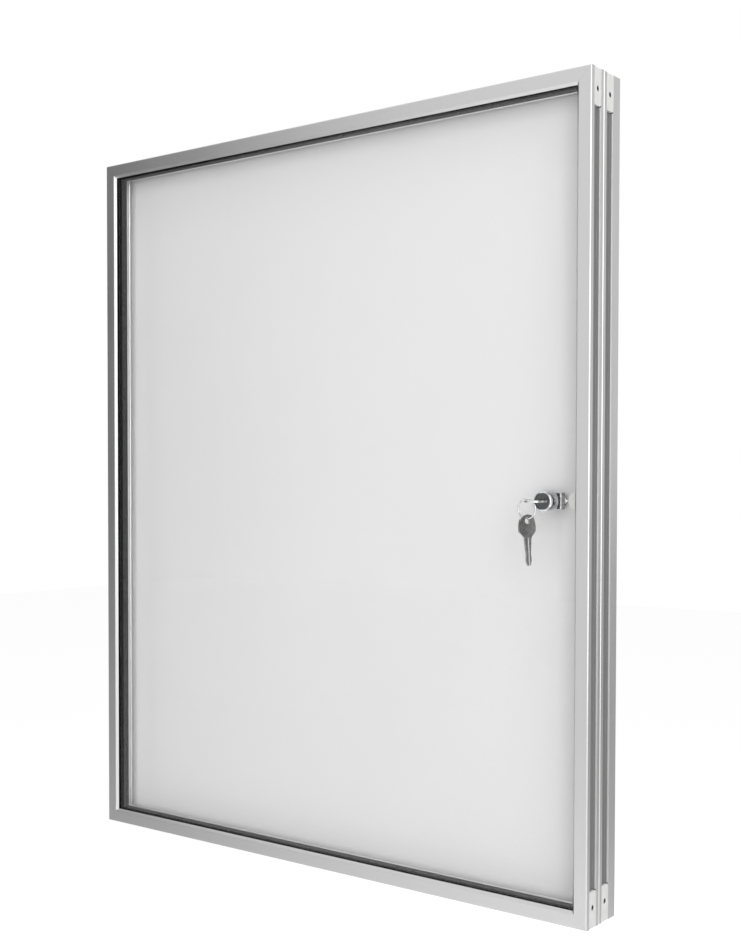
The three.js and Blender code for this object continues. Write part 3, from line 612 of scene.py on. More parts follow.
def bar_tree():
    tree, given = new_tree("Mitred bar", (
        "Half length", "End gap", "Seat length", "Seat width", "Seat depth", "Seat middle"), {
        "Has seats": "NodeSocketBool", "Finish": "NodeSocketMaterial"})
    walls = add(tree, "GeometryNodeExtrudeMesh", {"mode": "FACES"}, {
        "Mesh": given["Mesh"], "Offset": (0, 0, 1), "Offset Scale": 1, "Individual": False})
    floor = add(tree, "GeometryNodeFlipFaces", None, {"Mesh": given["Mesh"]})
    both = add(tree, "GeometryNodeJoinGeometry", None, {
        "Geometry": [floor, walls]})
    closed = add(tree, "GeometryNodeMergeByDistance", None, {
        "Geometry": both, "Distance": 0.001 * MM})
    # An end stops short of the corner by as much as the point lies inward, which makes the mitre
    parts = parts_of(tree, add(tree, "GeometryNodeInputPosition"))
    reach = reckon(tree, "SUBTRACT", given["Half length"], given["End gap"])
    reach = reckon(tree, "SUBTRACT", reach, parts["X"])
    end = reckon(tree, "MULTIPLY_ADD", parts["Z"], 2.0, -1.0)
    along = reckon(tree, "MULTIPLY", reach, end)
    bar = add(tree, "GeometryNodeSetPosition", None, {
        "Geometry": closed, "Position": point(tree, parts["X"], parts["Y"], along)})
    # One block at each end takes the lips away. Only half of its depth and length reaches into the bar
    size = point(tree, given["Seat depth"], given["Seat width"], given["Seat length"])
    grown_size = add(tree, "ShaderNodeVectorMath", {"operation": "MULTIPLY"}, {0: size, 1: (2.0, 1.0, 2.0)})
    block = add(tree, "GeometryNodeMeshCube", None, {"Size": grown_size})
    blocks = []
    for height in (given["Half length"], reckon(tree, "MULTIPLY", given["Half length"], -1.0)):
        blocks.append(add(tree, "GeometryNodeTransform", None, {
            "Geometry": block, "Translation": point(tree, y=given["Seat middle"], z=height)}))
    milled = add(tree, "GeometryNodeMeshBoolean", {"operation": "DIFFERENCE", "solver": "EXACT"}, {
        "Mesh 1": bar, "Mesh 2": blocks})
    chosen = add(tree, "GeometryNodeSwitch", {"input_type": "GEOMETRY"}, {
        "Switch": given["Has seats"], "False": bar, "True": milled})
    return end_tree(tree, chosen, given["Finish"])


def chamber(near, front, far, back):
    return [(near, front), (near, back), (far, back), (far, front)]


def groove_points(bar, start):
    end = start + bar.groove_width
    return [
        (0, end), (bar.lip_depth, end), (bar.lip_depth, end - bar.lip_width),
        (bar.groove_depth, end - bar.lip_width), (bar.groove_depth, start + bar.lip_width),
        (bar.lip_depth, start + bar.lip_width), (bar.lip_depth, start), (0, start)]


# A section's first number runs inward from the bar's side face, its second back from its front


def door_section(bar):
    """Outline, chambers and groove's start of the door's bars."""
    groove, depth = 5 * MM, 20.5 * MM
    # The pocket that the gasket and the pane lie in
    pocket_front, pocket_back, pocket_wall = bar.inner_bevel + 0.3 * MM, 17.3 * MM, 7.2 * MM
    outline = [
        (0, bar.outer_chamfer), (bar.outer_chamfer, 0), (bar.rail_width - bar.inner_bevel, 0),
        (bar.rail_width, bar.inner_bevel), (bar.rail_width, pocket_front), (pocket_wall, pocket_front),
        (pocket_wall, pocket_back), (bar.rail_width, pocket_back),
        (bar.rail_width, depth - bar.rear_chamfer), (bar.rail_width - bar.rear_chamfer, depth),
        (bar.rear_chamfer, depth), (0, depth - bar.rear_chamfer),
        *groove_points(bar, groove)]
    return outline, (chamber(4.1 * MM, 3.6 * MM, 5.8 * MM, 15.8 * MM),), groove


def case_section(bar):
    """Outline, chambers and groove's start of the case's bars."""
    groove, depth = 4.6 * MM, 27 * MM
    # A front lip, a wall with a bead before the panel, and a ledge behind it
    lip_back, wall, ledge = 1.6 * MM, 4.2 * MM, 17.1 * MM
    bead_front, bead_back, bead = 7.7 * MM, 9.2 * MM, 6.2 * MM
    outline = [
        (0, bar.outer_chamfer), (bar.outer_chamfer, 0), (bar.rail_width - bar.rear_chamfer, 0),
        (bar.rail_width, bar.rear_chamfer), (bar.rail_width, lip_back), (wall, lip_back),
        (wall, bead_front), (bead, bead_front), (bead, bead_back), (wall, bead_back),
        (wall, ledge), (bar.rail_width, ledge), (bar.rail_width, depth), (0, depth),
        *groove_points(bar, groove)]
    return outline, (chamber(1.5 * MM, 18.6 * MM, 11.8 * MM, 25.5 * MM),), groove


def mapped_along(piece):
    """A UV map whose first number runs along the bar and whose second runs round its section."""
    layer = piece.data.uv_layers.new(name="along_bar")
    for loop in piece.data.loops:
        x, y, z = piece.data.vertices[loop.vertex_index].co
        layer.data[loop.index].uv = (z, x + y)


def bar_piece(tree, name, section, side, front, values):
    _, _, turn, across, along = side
    piece = grown(name, section, tree, {**values, "Half length": along})
    form = bmesh.new()
    form.from_mesh(piece.data)
    bmesh.ops.recalc_face_normals(form, faces=form.faces)
    form.to_mesh(piece.data)
    form.free()
    mapped_along(piece)
    piece.data.transform(
        Matrix.Rotation(turn, 4, "Y") @ Matrix.Translation((-across, front, 0)))
    return smoothed(piece)


def deep_in_groove(bar, side, begins):
    """A test that finds the faces of a bar's groove that lie deeper than its lips."""
    margin = 0.05 * MM
    axis, reach = ("z" if side[0].endswith("rail") else "x"), side[3]

    def is_deep(face):
        depth = reach - abs(getattr(face.center, axis))
        return (bar.lip_depth + margin < depth < bar.groove_depth + margin
                and begins - margin < face.center.y < begins + bar.groove_width + margin)

    return is_deep


class NOTICEBOARD_OT_frame_bars(bpy.types.Operator):
    """Eight mitred bars of extruded aluminium: four for the door, four for the case"""
    bl_idname = "noticeboard.frame_bars"
    bl_label = "Frame bars"

    def execute(self, context):
        bar = context.scene.noticeboard_bars
        finish, groove_shade = anodised_aluminium(bar.colour), groove_shaded_aluminium()
        tree = bar_tree()
        # The seats take the lips away and leave the groove's floor whole
        seat_length, floor_left = 29.9 * MM, 0.01 * MM
        for frame_name, section, front in (
                ("door", door_section(bar), DOOR_FRONT), ("case", case_section(bar), CASE_FRONT)):
            outline, chambers, groove = section
            for side in SIDES:
                name = f"{frame_name}_{side[0]}"
                mesh = section_mesh(name, eased_outline(outline, bar.edge_radius), chambers)
                piece = bar_piece(tree, f"bar_{name}", mesh, side, front, {
                    "End gap": bar.mitre_gap, "Seat length": seat_length, "Seat width": bar.groove_width,
                    "Seat depth": bar.groove_depth - floor_left,
                    "Seat middle": groove + bar.groove_width / 2, "Has seats": True, "Finish": finish})
                # The groove's deep faces take the second finish, whose darker grey is painted shade
                placed(piece, finish, "anodised_aluminium", frame_name, name,
                       second=groove_shade, chosen=deep_in_groove(bar, side, front + groove))
        return {"FINISHED"}


class NOTICEBOARD_OT_connectors(bpy.types.Operator):
    """Eight moulded corner connectors in the side grooves"""
    bl_idname = "noticeboard.connectors"
    bl_label = "Corner connectors"

    def execute(self, context):
        corner = context.scene.noticeboard_corners
        finish = moulded_grey_plastic(corner.colour)
        for frame_name in ("door", "case"):
            for place in CORNERS:
                node = f"{frame_name}_corner_{place}"
                piece = eased_copy(node, f"connector_{frame_name}_{place}", corner.edge_radius, 3)
                placed(piece, finish, "moulded_grey_plastic", frame_name, node)
        return {"FINISHED"}


def screw_tree():
    tree, given = new_tree("Socket screws", (
        "Screw radius", "Screw length", "Socket radius", "Socket depth", "Edge"), {
        "Finish": "NodeSocketMaterial"})
    shank = add(tree, "GeometryNodeMeshCylinder", None, {
        "Vertices": 40, "Radius": given["Screw radius"],
        "Depth": reckon(tree, "SUBTRACT", given["Screw length"], given["Edge"])})
    # The end face is drawn in and raised, which chamfers its edge
    facing = parts_of(tree, add(tree, "GeometryNodeInputNormal"))
    is_top = add(tree, "FunctionNodeCompare", {"data_type": "FLOAT", "operation": "GREATER_THAN"}, {
        "A": facing["Z"], "B": 0.9})
    raised = add(tree, "GeometryNodeExtrudeMesh", {"mode": "FACES"}, {
        "Mesh": shank, "Selection": is_top,
        "Offset Scale": given["Edge"], "Individual": False})
    share = reckon(tree, "DIVIDE", given["Edge"], given["Screw radius"])
    head = add(tree, "GeometryNodeScaleElements", None, {
        "Geometry": raised, "Selection": raised.outputs["Top"],
        "Scale": reckon(tree, "SUBTRACT", 1.0, share)})
    # A six-sided socket is sunk into the end
    key_form = add(tree, "GeometryNodeMeshCylinder", None, {
        "Vertices": 6, "Radius": given["Socket radius"],
        "Depth": reckon(tree, "MULTIPLY", given["Socket depth"], 2.0)})
    half = reckon(tree, "MULTIPLY", given["Screw length"], 0.5)
    top = reckon(tree, "MULTIPLY_ADD", given["Edge"], 0.5, half)
    tool = add(tree, "GeometryNodeTransform", None, {
        "Geometry": key_form, "Translation": point(tree, z=top)})
    cut = add(tree, "GeometryNodeMeshBoolean", {"operation": "DIFFERENCE", "solver": "EXACT"}, {
        "Mesh 1": head, "Mesh 2": [tool]})
    # The screw's end comes to its local origin, so a point marks where the end lies
    screw = add(tree, "GeometryNodeTransform", None, {
        "Geometry": cut, "Translation": point(tree, z=reckon(tree, "MULTIPLY", top, -1.0))})
    outward = add(tree, "GeometryNodeInputNamedAttribute", {"data_type": "FLOAT_VECTOR"}, {
        "Name": "outward"})
    turn = add(tree, "FunctionNodeAlignRotationToVector", {"axis": "Z"}, {
        "Vector": outward})
    each = add(tree, "GeometryNodeInstanceOnPoints", None, {
        "Points": given["Mesh"], "Instance": screw,
        "Rotation": turn})
    return end_tree(tree, each, given["Finish"])


class NOTICEBOARD_OT_screws(bpy.types.Operator):
    """Sixteen socket screws, one through each leg of the corner connectors"""
    bl_idname = "noticeboard.screws"
    bl_label = "Corner screws"

    def execute(self, context):
        corner = context.scene.noticeboard_corners
        finish = screw_steel()
        tree = screw_tree()
        socket_depth, edge = 1.6 * MM, 0.25 * MM
        for frame_name in ("door", "case"):
            nodes = [f"{frame_name}_screw_{place}_{leg}" for place in CORNERS for leg in "ab"]
            points, ways = [], []
            for node in nodes:
                low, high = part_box(node)
                middle = (low + high) / 2
                # A screw in the top or bottom face lies within 10 mm of it
                if abs(middle.z) > HALF_HEIGHT - 10 * MM:
                    way = Vector((0, 0, math.copysign(1, middle.z)))
                    middle.z = math.copysign(HALF_HEIGHT - corner.screw_sunk, middle.z)
                else:
                    way = Vector((math.copysign(1, middle.x), 0, 0))
                    middle.x = math.copysign(HALF_WIDTH - corner.screw_sunk, middle.x)
                points.append(middle)
                ways.append(way)
            mesh = bpy.data.meshes.new(f"screw_places_{frame_name}")
            mesh.from_pydata(points, [], [])
            attribute = mesh.attributes.new("outward", "FLOAT_VECTOR", "POINT")
            for i, way in enumerate(ways):
                attribute.data[i].vector = way
            piece = grown(f"screws_{frame_name}", mesh, tree, {
                "Screw radius": corner.screw_radius, "Screw length": corner.screw_length,
                "Socket radius": corner.socket_radius, "Socket depth": socket_depth,
                "Edge": edge, "Finish": finish})
            placed(smoothed(piece), finish, "screw_steel", frame_name, *nodes)
        return {"FINISHED"}


class NOTICEBOARD_OT_glazing(bpy.types.Operator):
    """The clear pane and the rubber gasket round it, in four mitred strips"""
    bl_idname = "noticeboard.glazing"
    bl_label = "Pane and gasket"

    def execute(self, context):
        glazing = context.scene.noticeboard_glazing
        gap = context.scene.noticeboard_bars.mitre_gap
        # Lines along the strip, about 0.6 mm apart
        rubber = black_rubber(glazing.gasket_colour, on_bar, (10, 1600, 1))
        tree = bpy.data.node_groups["Mitred bar"]
        # The strip wraps the pane's edge: a front lip, a web round the edge and a foot behind
        outer, web, lip, inner = 7.5 * MM, 8.3 * MM, 13.5 * MM, 14 * MM
        front, lip_back, pane_back, foot_back = 2.7 * MM, 3.4 * MM, 7.8 * MM, 17 * MM
        outline = [
            (outer, front), (lip, front), (lip, lip_back), (web, lip_back),
            (web, pane_back), (inner, pane_back), (inner, foot_back), (outer, foot_back)]
        for side in SIDES:
            node = f"gasket_{side[1]}"
            mesh = section_mesh(node, eased_outline(outline, 0.25 * MM))
            piece = bar_piece(tree, f"rubber_{node}", mesh, side, DOOR_FRONT, {
                "End gap": gap, "Seat length": MM, "Seat width": MM, "Seat depth": MM,
                "Seat middle": 0.0, "Has seats": False, "Finish": rubber})
            placed(piece, rubber, "black_rubber", "door", node)
        pane = eased_copy("pane", "clear_sheet", glazing.pane_edge)
        placed(pane, clear_pane(glazing.pane_tint), "clear_pane", "door", "pane")
        return {"FINISHED"}


class NOTICEBOARD_OT_panel(bpy.types.Operator):
    """The white magnetic panel and the hardboard behind it"""
    bl_idname = "noticeboard.panel"
    bl_label = "Panel and backing"

    def execute(self, context):
        colours = context.scene.noticeboard_panel
        panel = eased_copy("magnetic_panel", "enamelled_panel", 0.3 * MM)
        enamel = white_enamelled_steel(colours.panel_colour)
        placed(panel, enamel, "white_enamelled_steel", "case", "magnetic_panel")
        backing = eased_copy("backing_board", "hardboard_backing", 0.4 * MM)
        placed(backing, pressed_hardboard(colours.board_colour), "hardboard", "case", "backing_board")
        return {"FINISHED"}


class NOTICEBOARD_OT_hinges(bpy.types.Operator):
    """Two hinges on the left-hand side, and two keyhole hangers at the back"""
    bl_idname = "noticeboard.hinges"
    bl_label = "Hinges and hangers"

    def execute(self, context):
        zinc = zinc_plated_steel()
        galvanised = galvanised_steel()
        for place in ("upper", "lower"):
            for node, body in (
                    (f"hinge_door_leaf_{place}", "door"), (f"hinge_case_leaf_{place}", "case"),
                    (f"hinge_pin_{place}", "case")):
                placed(eased_copy(node, f"zinc_{node}", 0.2 * MM), zinc, "zinc_plated_steel", body, node)
        for place in ("left", "right"):
            node = f"hanger_{place}"
            piece = eased_copy(node, f"steel_{node}", 0.3 * MM)
            placed(piece, galvanised, "galvanised_steel", "case", node)
        return {"FINISHED"}


def housing_profile(lock, mouth_floor, bore):
    """The closed profile of the domed bezel and the threaded barrel."""
    front, back = LOCK_LOW.y, LOCK_HIGH.y
    bezel_back = front + 9.2 * MM
    crown = lock.mouth_radius + 0.4 * MM
    mouth_edge, rim_edge, end_edge, rim_height = 0.15 * MM, 0.2 * MM, 0.1 * MM, 0.8 * MM
    profile = [
        (bore, mouth_floor), (lock.mouth_radius, mouth_floor), (lock.mouth_radius, front + mouth_edge),
        (lock.mouth_radius + mouth_edge, front), (crown, front)]
    # The dome runs in one curve from the flat crown to the upright rim, drawn on by two more points
    start, rim = Vector((crown, front)), Vector((lock.flange_radius, bezel_back - rim_height))
    span, fall = rim.x - start.x, rim.y - start.y
    first = Vector((start.x + span * 0.55, front + fall * 0.06))
    second = Vector((lock.flange_radius, front + fall * 0.55))
    dome_steps = 24
    for step in range(1, dome_steps + 1):
        t = step / dome_steps
        along = ((1 - t) ** 3 * start + 3 * t * (1 - t) ** 2 * first
                 + 3 * t ** 2 * (1 - t) * second + t ** 3 * rim)
        profile.append((along.x, along.y))
    profile += [
        (lock.flange_radius, bezel_back - rim_edge), (lock.flange_radius - rim_edge, bezel_back),
        (lock.barrel_radius, bezel_back)]
    # Each thread has a flat crest, a slope, a narrow root and a steep rise to the next
    root = lock.barrel_radius - lock.thread_depth
    y = bezel_back + 0.3 * MM
    while y + lock.thread_pitch < back:
        for radius, share in (
                (lock.barrel_radius, 0), (lock.barrel_radius, 0.2), (root, 0.55), (root, 0.65)):
            profile.append((radius, y + lock.thread_pitch * share))
        y += lock.thread_pitch
    return profile + [
        (lock.barrel_radius - 0.3 * MM, back), (bore + end_edge, back), (bore, back - end_edge),
        (bore, mouth_floor)]


class NOTICEBOARD_OT_lock(bpy.types.Operator):
    """The cam lock: domed bezel and threaded barrel, plug, sleeve, washer, nut, cam and its screw"""
    bl_idname = "noticeboard.lock"
    bl_label = "Cam lock"

    def execute(self, context):
        lock = context.scene.noticeboard_lock
        chrome = chrome_plate(lock.chrome_colour)
        dark = dark_chrome(lock.plug_colour)
        zinc = zinc_plated_steel()
        self.housing(lock, chrome)
        self.sleeve(lock)
        bright = nickel_plate("bright_nickel_washer", "#f2f2f0", 0.2, 0.3)
        nickel = nickel_plate("nickel_plated_nut", "#8e9092", 0.14, 0.24)
        for node, name, radius, segments, finish, slot, body in (
                ("lock_washer", "square_washer", 0.25, 3, bright, "zinc_plated_steel", "door"),
                ("lock_nut", "split_nut", 0.35, 3, nickel, "dark_chrome", "door"),
                ("lock_plug", "keyed_plug", 0.12, 2, dark, "dark_chrome", "lock_barrel"),
                ("lock_cam", "pressed_cam", 0.25, 3, zinc, "zinc_plated_steel", "lock_barrel")):
            placed(eased_copy(node, name, radius * MM, segments), finish, slot, body, node)
        self.cam_screw()
        return {"FINISHED"}

    def housing(self, lock, chrome):
        plug_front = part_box("lock_plug")[0].y
        profile = housing_profile(lock, plug_front + 1.3 * MM, 4.6 * MM)
        # The barrel is cut flat on two sides, 5.1 mm from its axis
        housing = spun("bezel_and_barrel", profile, lock.steps, 5.1 * MM, lock.barrel_radius + 0.01 * MM)
        placed(smoothed(housing, 40), chrome, "chrome_plate", "door", "lock_housing")

    def sleeve(self, lock):
        # A foam sleeve with a soft rounded edge at both ends
        low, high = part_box("lock_sleeve")
        outer, hole = (high.x - low.x) / 2, 5.8 * MM
        soft, softer = 0.5 * MM, 0.15 * MM
        sleeve = spun("rubber_sleeve", [
            (hole, low.y), (outer - soft, low.y), (outer - softer, low.y + softer), (outer, low.y + soft),
            (outer, high.y - soft), (outer - softer, high.y - softer), (outer - soft, high.y),
            (hole, high.y), (hole, low.y)], lock.steps)
        rubber = black_rubber("#1d1e20", on_piece, (900, 900, 900))
        placed(smoothed(sleeve, 50), rubber, "black_rubber", "door", "lock_sleeve")

    def cam_screw(self):
        # A pan head with a round recess on a plain shank
        low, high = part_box("cam_screw")
        shank, head_radius, recess = 1.2 * MM, 3.6 * MM, 0.7 * MM
        head = high.y - 1.4 * MM
        screw = spun("cam_set_screw", [
            (0, low.y), (1.0 * MM, low.y), (shank, low.y + 0.2 * MM), (shank, head), (3.5 * MM, head),
            (head_radius, head + 0.1 * MM), (head_radius, head + 0.5 * MM), (3.1 * MM, high.y - 0.15 * MM),
            (2.2 * MM, high.y), (1.3 * MM, high.y), (1.2 * MM, high.y - recess), (0, high.y - recess)], 48)
        placed(smoothed(screw, 30), screw_steel(), "screw_steel", "lock_barrel", "cam_screw")


class NOTICEBOARD_OT_keeper(bpy.types.Operator):
    """The round-nosed nylon keeper behind the case's right-hand lip"""
    bl_idname = "noticeboard.keeper"
    bl_label = "Keeper"

    def execute(self, context):
        piece = eased_copy("keeper", "nylon_keeper", 0.5 * MM, 4)
        placed(piece, white_nylon(), "white_nylon", "case", "keeper")
        return {"FINISHED"}


def wire_ring(keys):
    """A ring of wire whose two ends meet in a fine closed seam at the upper right."""
    low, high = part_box("key_ring")
    centre = (low + high) / 2
    radius = (high.x - low.x) / 2 - keys.wire_radius
    around, across = 120, 20
    # The seam's place and width are turns in radians, its depth is a share of the wire
    seam, seam_width, seam_depth = math.radians(35), 0.035, 0.22
    form = bmesh.new()
    rings = []
    for i in range(around):
        turn = 2 * math.pi * i / around
        from_seam = abs((turn - seam + math.pi) % (2 * math.pi) - math.pi)
        wire = keys.wire_radius * (1 - seam_depth * math.exp(-(from_seam / seam_width) ** 2))
        ring = []
        for j in range(across):
            out, aside = on_circle(wire, 2 * math.pi * j / across)
            x, z = on_circle(radius + out, turn)
            ring.append(form.verts.new((centre.x + x, centre.y + aside, centre.z + z)))
        rings.append(ring)
    for first, second in zip(rings, rings[1:] + rings[:1]):
        for j in range(across):
            on = (j + 1) % across
            form.faces.new((first[j], first[on], second[on], second[j]))
    bmesh.ops.recalc_face_normals(form, faces=form.faces)
    return link_object("wire_ring", mesh_from(form, "wire_ring"))


def bright_faces(piece):
    """A test that finds what is brighter than a key's two flat sides.

    That is what leans away from them or lies deeper, as in the groove. Its brighter nickel is painted
    highlight, and on the edges also wear.
    """
    # A face of a flat side is level with it within 0.1 mm and leans by less than 14 degrees
    margin, upright = 0.1 * MM, 0.97
    flat = max(piece.data.polygons, key=lambda face: face.area).normal.copy()
    heights = [corner.co.dot(flat) for corner in piece.data.vertices]
    low, high = min(heights) + margin, max(heights) - margin

    def is_bright(face):
        return abs(face.normal.dot(flat)) < upright or low < face.center.dot(flat) < high

    return is_bright


class NOTICEBOARD_OT_keys(bpy.types.Operator):
    """The key in the lock, the wire ring and the spare key that hangs from it"""
    bl_idname = "noticeboard.keys"
    bl_label = "Keys and ring"

    def execute(self, context):
        keys = context.scene.noticeboard_keys
        tumbled = nickel_plate("nickel_plated_key", keys.colour, 0.2, 0.38)
        worn_and_highlit = nickel_plate("nickel_worn_and_highlit_edges", keys.edge_colour, 0.24, 0.36)
        wire_finish = nickel_plate("nickel_plated_wire", keys.edge_colour, 0.08, 0.16)
        for node, body in (("key", "key"), ("spare_key", "spare")):
            piece = eased_copy(node, f"plated_{node}", keys.edge_radius, 3)
            # Edges and groove take the brighter nickel: painted highlight, and wear on the edges
            placed(piece, tumbled, "nickel_plated_key", body, node, second=worn_and_highlit, chosen=bright_faces(piece))
        placed(smoothed(wire_ring(keys), 60), wire_finish, "nickel_plated_key", "ring", "key_ring")
        return {"FINISHED"}


# Stage: pale floor, white room, soft lamps and the camera at the photograph's viewpoint


def area_lamp(name, place, width, height, watts, mirrored):
    """A soft lamp that faces the board. Glossy things show it only where mirrored is true."""
    light = bpy.data.lights.new(name, "AREA")
    light.shape = "RECTANGLE"
    light.size, light.size_y, light.energy = width, height, watts
    lamp = link_object(name, light)
    lamp.location = place
    lamp.rotation_euler = (-Vector(place)).to_track_quat("-Z", "Y").to_euler()
    lamp.visible_glossy = mirrored


class NOTICEBOARD_OT_stage(bpy.types.Operator):
    """Pale floor, white surroundings, soft lamps and the camera"""
    bl_idname = "noticeboard.stage"
    bl_label = "Stage and camera"

    def execute(self, context):
        scene = context.scene
        stage = scene.noticeboard_stage
        self.camera(scene)
        form = bmesh.new()
        bmesh.ops.create_grid(form, x_segments=4, y_segments=4, size=12)
        bmesh.ops.translate(form, verts=form.verts, vec=(0, 0, -stage.floor_below))
        floor = link_object("pale_floor", mesh_from(form, "pale_floor"))
        floor.data.materials.append(self.floor_finish(stage))
        self.screens(stage)
        # The wide lamp in front evens out the panel, and the one behind lights the back
        for name, place, width, height, watts, mirrored in (
                ("soft_main", (2.72, -1.91, 0.5), 1.9, 2.2, stage.key_watts, True),
                ("soft_top", (1.4, -1.0, 1.9), 1.8, 1.8, stage.top_watts, False),
                ("soft_front", (1.25, -2.9, 0.3), 3.0, 2.6, stage.front_watts, False),
                ("soft_rear", (-1.2, 2.8, 0.8), 2.4, 2.4, stage.rear_watts, False)):
            area_lamp(name, place, width, height, watts, mirrored)
        self.white_room(scene, stage)
        scene.view_settings.view_transform = "Standard"
        return {"FINISHED"}

    def camera(self, scene):
        # In pixels of the photograph, whose long side spans the sensor
        long_side, focal_length, rise = 945, 1303, 42.17
        camera = bpy.data.cameras.new("camera")
        camera.sensor_fit = "AUTO"
        camera.sensor_width = 36
        camera.lens = focal_length * camera.sensor_width / long_side
        camera.shift_y = rise / long_side
        camera.clip_start, camera.clip_end = 0.05, 60
        viewer = link_object("camera", camera)
        viewer.location = (747.34 * MM, -950.44 * MM, 17.35 * MM)
        # In degrees
        look_down, lean, look_left = 1.573, 0.103, 37.153
        viewer.rotation_euler = (math.radians(90 - look_down), math.radians(-lean), math.radians(look_left))
        scene.camera = viewer

    def screens(self, stage):
        # Cloth screens stand and lie round the board, out of view, and show only in what mirrors them.
        # An upright one has its direction, half width, lower and upper edge, darkness and the share
        # that is left at its foot
        distance = 3
        for name, azimuth, half_width, low, high, darkness, foot in (
                ("dark_screen_left", -64, 1.56, -1.34, 2.6, 1.0, 0.4),
                ("dark_screen_right", 105, 1.2, -0.9, 2.2, 1.0, 0.0),
                ("dim_screen_behind", 154, 1.8, -1.34, 2.6, 0.22, 1.0),
                ("dim_screen_low", 154, 1.8, -1.34, 0.1, 0.4, 1.0)):
            turn = math.radians(azimuth)
            place = Vector((math.sin(turn) * distance, -math.cos(turn) * distance, (low + high) / 2))
            self.cloth(name, place, (-place.x, -place.y, 0), half_width, (high - low) / 2, darkness, foot)
        # A lying one has its place, the way that it faces, half width, darkness and foot
        low = 0.01 - stage.floor_below
        for name, place, facing, half_width, darkness, foot in (
                ("dark_cloth_lower_left", (-2.5, -0.6, low), 1, 1.6, 0.75, 1.0),
                ("dark_cloth_lower_right", (0.75, -0.9, low), 1, 0.7, 1.0, 0.0),
                ("dark_cloth_above", (0.9, -1.2, 2.4), -1, 0.9, 1.0, 0.0)):
            self.cloth(name, Vector(place), (0, 0, facing), half_width, half_width, darkness, foot)

    def cloth(self, name, place, facing, half_width, half_height, darkness, foot):
        mesh = bpy.data.meshes.new(name)
        mesh.from_pydata([
            (-half_width, -half_height, 0), (half_width, -half_height, 0),
            (half_width, half_height, 0), (-half_width, half_height, 0)], [], [(0, 1, 2, 3)])
        edges = mesh.uv_layers.new(name="edges")
        for loop, corner in zip(edges.data, ((0, 0), (1, 0), (1, 1), (0, 1))):
            loop.uv = corner
        screen = link_object(name, mesh)
        screen.data.materials.append(self.screen_finish(f"{name}_cloth", darkness, foot))
        screen.location = place
        screen.rotation_euler = Vector(facing).to_track_quat("Z", "Y").to_euler()
        for ray in ("camera", "diffuse", "transmission", "volume_scatter", "shadow"):
            setattr(screen, f"visible_{ray}", False)

    def floor_finish(self, stage):
        # Pale matt floor that reads white and keeps the board's shadow
        finish, tree = empty_finish("pale_floor")
        rays = add(tree, "ShaderNodeLightPath").outputs
        lit = add(tree, "ShaderNodeBsdfDiffuse", None, {"Color": shade(stage.floor_colour)})
        # Its own brightness where the camera sees it, and where something shiny mirrors it
        looked_at, mirrored = 0.78, 0.64
        seen = reckon(tree, "MAXIMUM", rays["Is Camera Ray"], rays["Is Transmission Ray"])
        glow = reckon(tree, "MAXIMUM", reckon(tree, "MULTIPLY", seen, looked_at),
                      reckon(tree, "MULTIPLY", rays["Is Glossy Ray"], mirrored))
        white = add(tree, "ShaderNodeEmission", None, {"Color": (1, 1, 1, 1), "Strength": glow})
        surface = add(tree, "ShaderNodeAddShader", None, {
            0: lit, 1: white})
        add(tree, "ShaderNodeOutputMaterial", None, {"Surface": surface})
        return finish

    def screen_finish(self, name, darkness, foot):
        # Black cloth that thins out at its sides, its top and its foot, where the given share of it is left
        finish, tree = empty_finish(name)
        place = add(tree, "ShaderNodeUVMap", {"uv_map": "edges"}).outputs["UV"]
        parts = parts_of(tree, place)
        # Whole up to this share of its width from the middle, and between these shares of its height
        whole_aside, whole_from, whole_to = 0.27, 0.31, 0.75
        aside = reckon(tree, "ABSOLUTE", reckon(tree, "SUBTRACT", parts["X"], 0.5))
        cover = add(tree, "ShaderNodeMapRange", {"interpolation_type": "SMOOTHSTEP"}, {
            "Value": aside, "From Min": 0.5, "From Max": whole_aside})
        lower = add(tree, "ShaderNodeMapRange", None, {
            "Value": parts["Y"], "From Min": 0.0, "From Max": whole_from, "To Min": foot, "To Max": 1.0})
        upper = add(tree, "ShaderNodeMapRange", {"interpolation_type": "SMOOTHSTEP"}, {
            "Value": parts["Y"], "From Min": 1.0, "From Max": whole_to})
        for other in (lower, upper, darkness):
            cover = reckon(tree, "MULTIPLY", cover, other)
        clear = add(tree, "ShaderNodeBsdfTransparent")
        cloth = add(tree, "ShaderNodeBsdfDiffuse", None, {"Color": (0.1, 0.1, 0.1, 1)})
        surface = add(tree, "ShaderNodeMixShader", None, {
            0: cover, 1: clear, 2: cloth})
        add(tree, "ShaderNodeOutputMaterial", None, {"Surface": surface})
        return finish

    def white_room(self, scene, stage):
        # The room gives a low even light, and shows white to the eye, in mirrors and through the pane
        world = bpy.data.worlds.new("white_room")
        world.use_nodes = True
        tree = world.node_tree
        tree.nodes.clear()
        rays = add(tree, "ShaderNodeLightPath").outputs
        seen = reckon(tree, "MAXIMUM", rays["Is Camera Ray"], rays["Is Glossy Ray"])
        seen = reckon(tree, "MAXIMUM", seen, rays["Is Transmission Ray"])
        light = add(tree, "ShaderNodeBackground", None, {"Color": (1, 1, 1, 1), "Strength": stage.sky})
        white = add(tree, "ShaderNodeBackground", None, {"Color": (1, 1, 1, 1), "Strength": 1.0})
        mix = add(tree, "ShaderNodeMixShader", None, {
            0: seen, 1: light, 2: white})
        add(tree, "ShaderNodeOutputWorld", None, {"Surface": mix})
        scene.world = world


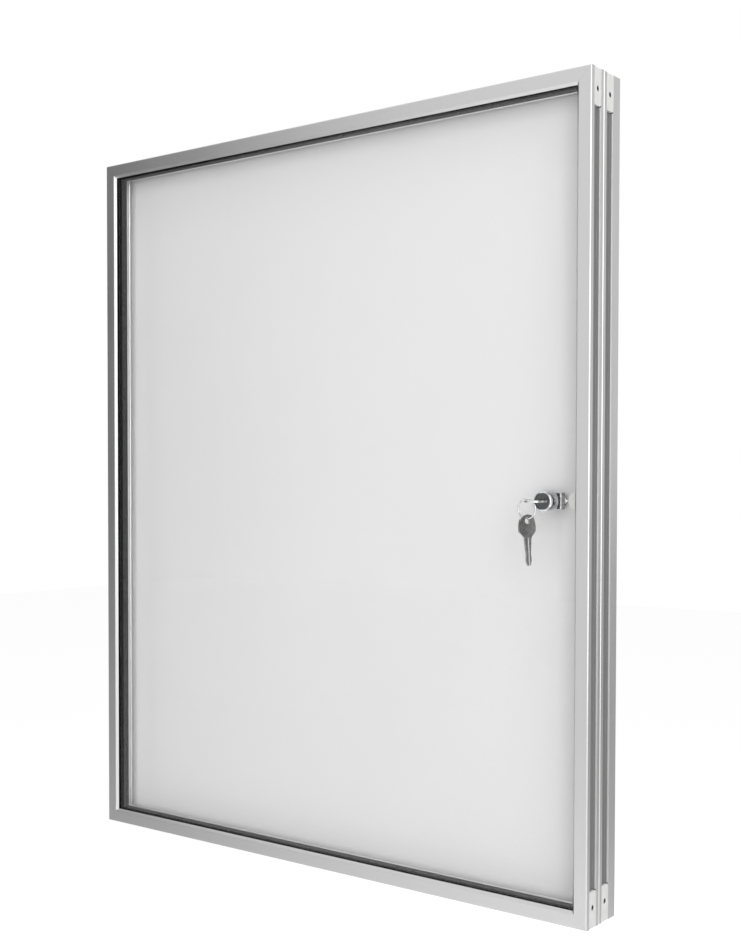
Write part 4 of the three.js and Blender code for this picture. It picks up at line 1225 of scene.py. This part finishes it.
class NOTICEBOARD_PT_panel(bpy.types.Panel):
    bl_label = "Notice board"
    bl_idname = "NOTICEBOARD_PT_panel"
    bl_space_type = "VIEW_3D"
    bl_region_type = "UI"
    bl_category = "Notice board"

    def draw(self, context):
        for group, _, operators in GROUPS:
            box = self.layout.box()
            settings = getattr(context.scene, group)
            for name in settings.bl_rna.properties.keys():
                if name not in ("rna_type", "name"):
                    box.prop(settings, name)
            for operator in operators:
                box.operator(operator.bl_idname)


# Settings with the operators that read them, in the order in which the pieces are made
GROUPS = (
    ("noticeboard_stage", StageSettings, (NOTICEBOARD_OT_stage,)),
    ("noticeboard_bars", BarSettings, (NOTICEBOARD_OT_frame_bars,)),
    ("noticeboard_corners", CornerSettings, (NOTICEBOARD_OT_connectors, NOTICEBOARD_OT_screws)),
    ("noticeboard_glazing", GlazingSettings, (NOTICEBOARD_OT_glazing,)),
    ("noticeboard_panel", PanelSettings, (NOTICEBOARD_OT_panel, NOTICEBOARD_OT_hinges)),
    ("noticeboard_lock", LockSettings, (NOTICEBOARD_OT_lock, NOTICEBOARD_OT_keeper)),
    ("noticeboard_keys", KeySettings, (NOTICEBOARD_OT_keys,)),
)


def register():
    for group, settings, operators in GROUPS:
        bpy.utils.register_class(settings)
        for operator in operators:
            bpy.utils.register_class(operator)
        setattr(bpy.types.Scene, group, PointerProperty(type=settings))
    bpy.utils.register_class(NOTICEBOARD_PT_panel)


def unregister():
    bpy.utils.unregister_class(NOTICEBOARD_PT_panel)
    for group, settings, operators in reversed(GROUPS):
        delattr(bpy.types.Scene, group)
        for operator in reversed(operators):
            bpy.utils.unregister_class(operator)
        bpy.utils.unregister_class(settings)


def main():
    register()
    bpy.ops.noticeboard.stage()
    bpy.ops.noticeboard.frame_bars()
    bpy.ops.noticeboard.connectors()
    bpy.ops.noticeboard.screws()
    bpy.ops.noticeboard.glazing()
    bpy.ops.noticeboard.panel()
    bpy.ops.noticeboard.hinges()
    bpy.ops.noticeboard.lock()
    bpy.ops.noticeboard.keeper()
    bpy.ops.noticeboard.keys()


if __name__ == "__main__":
    main()
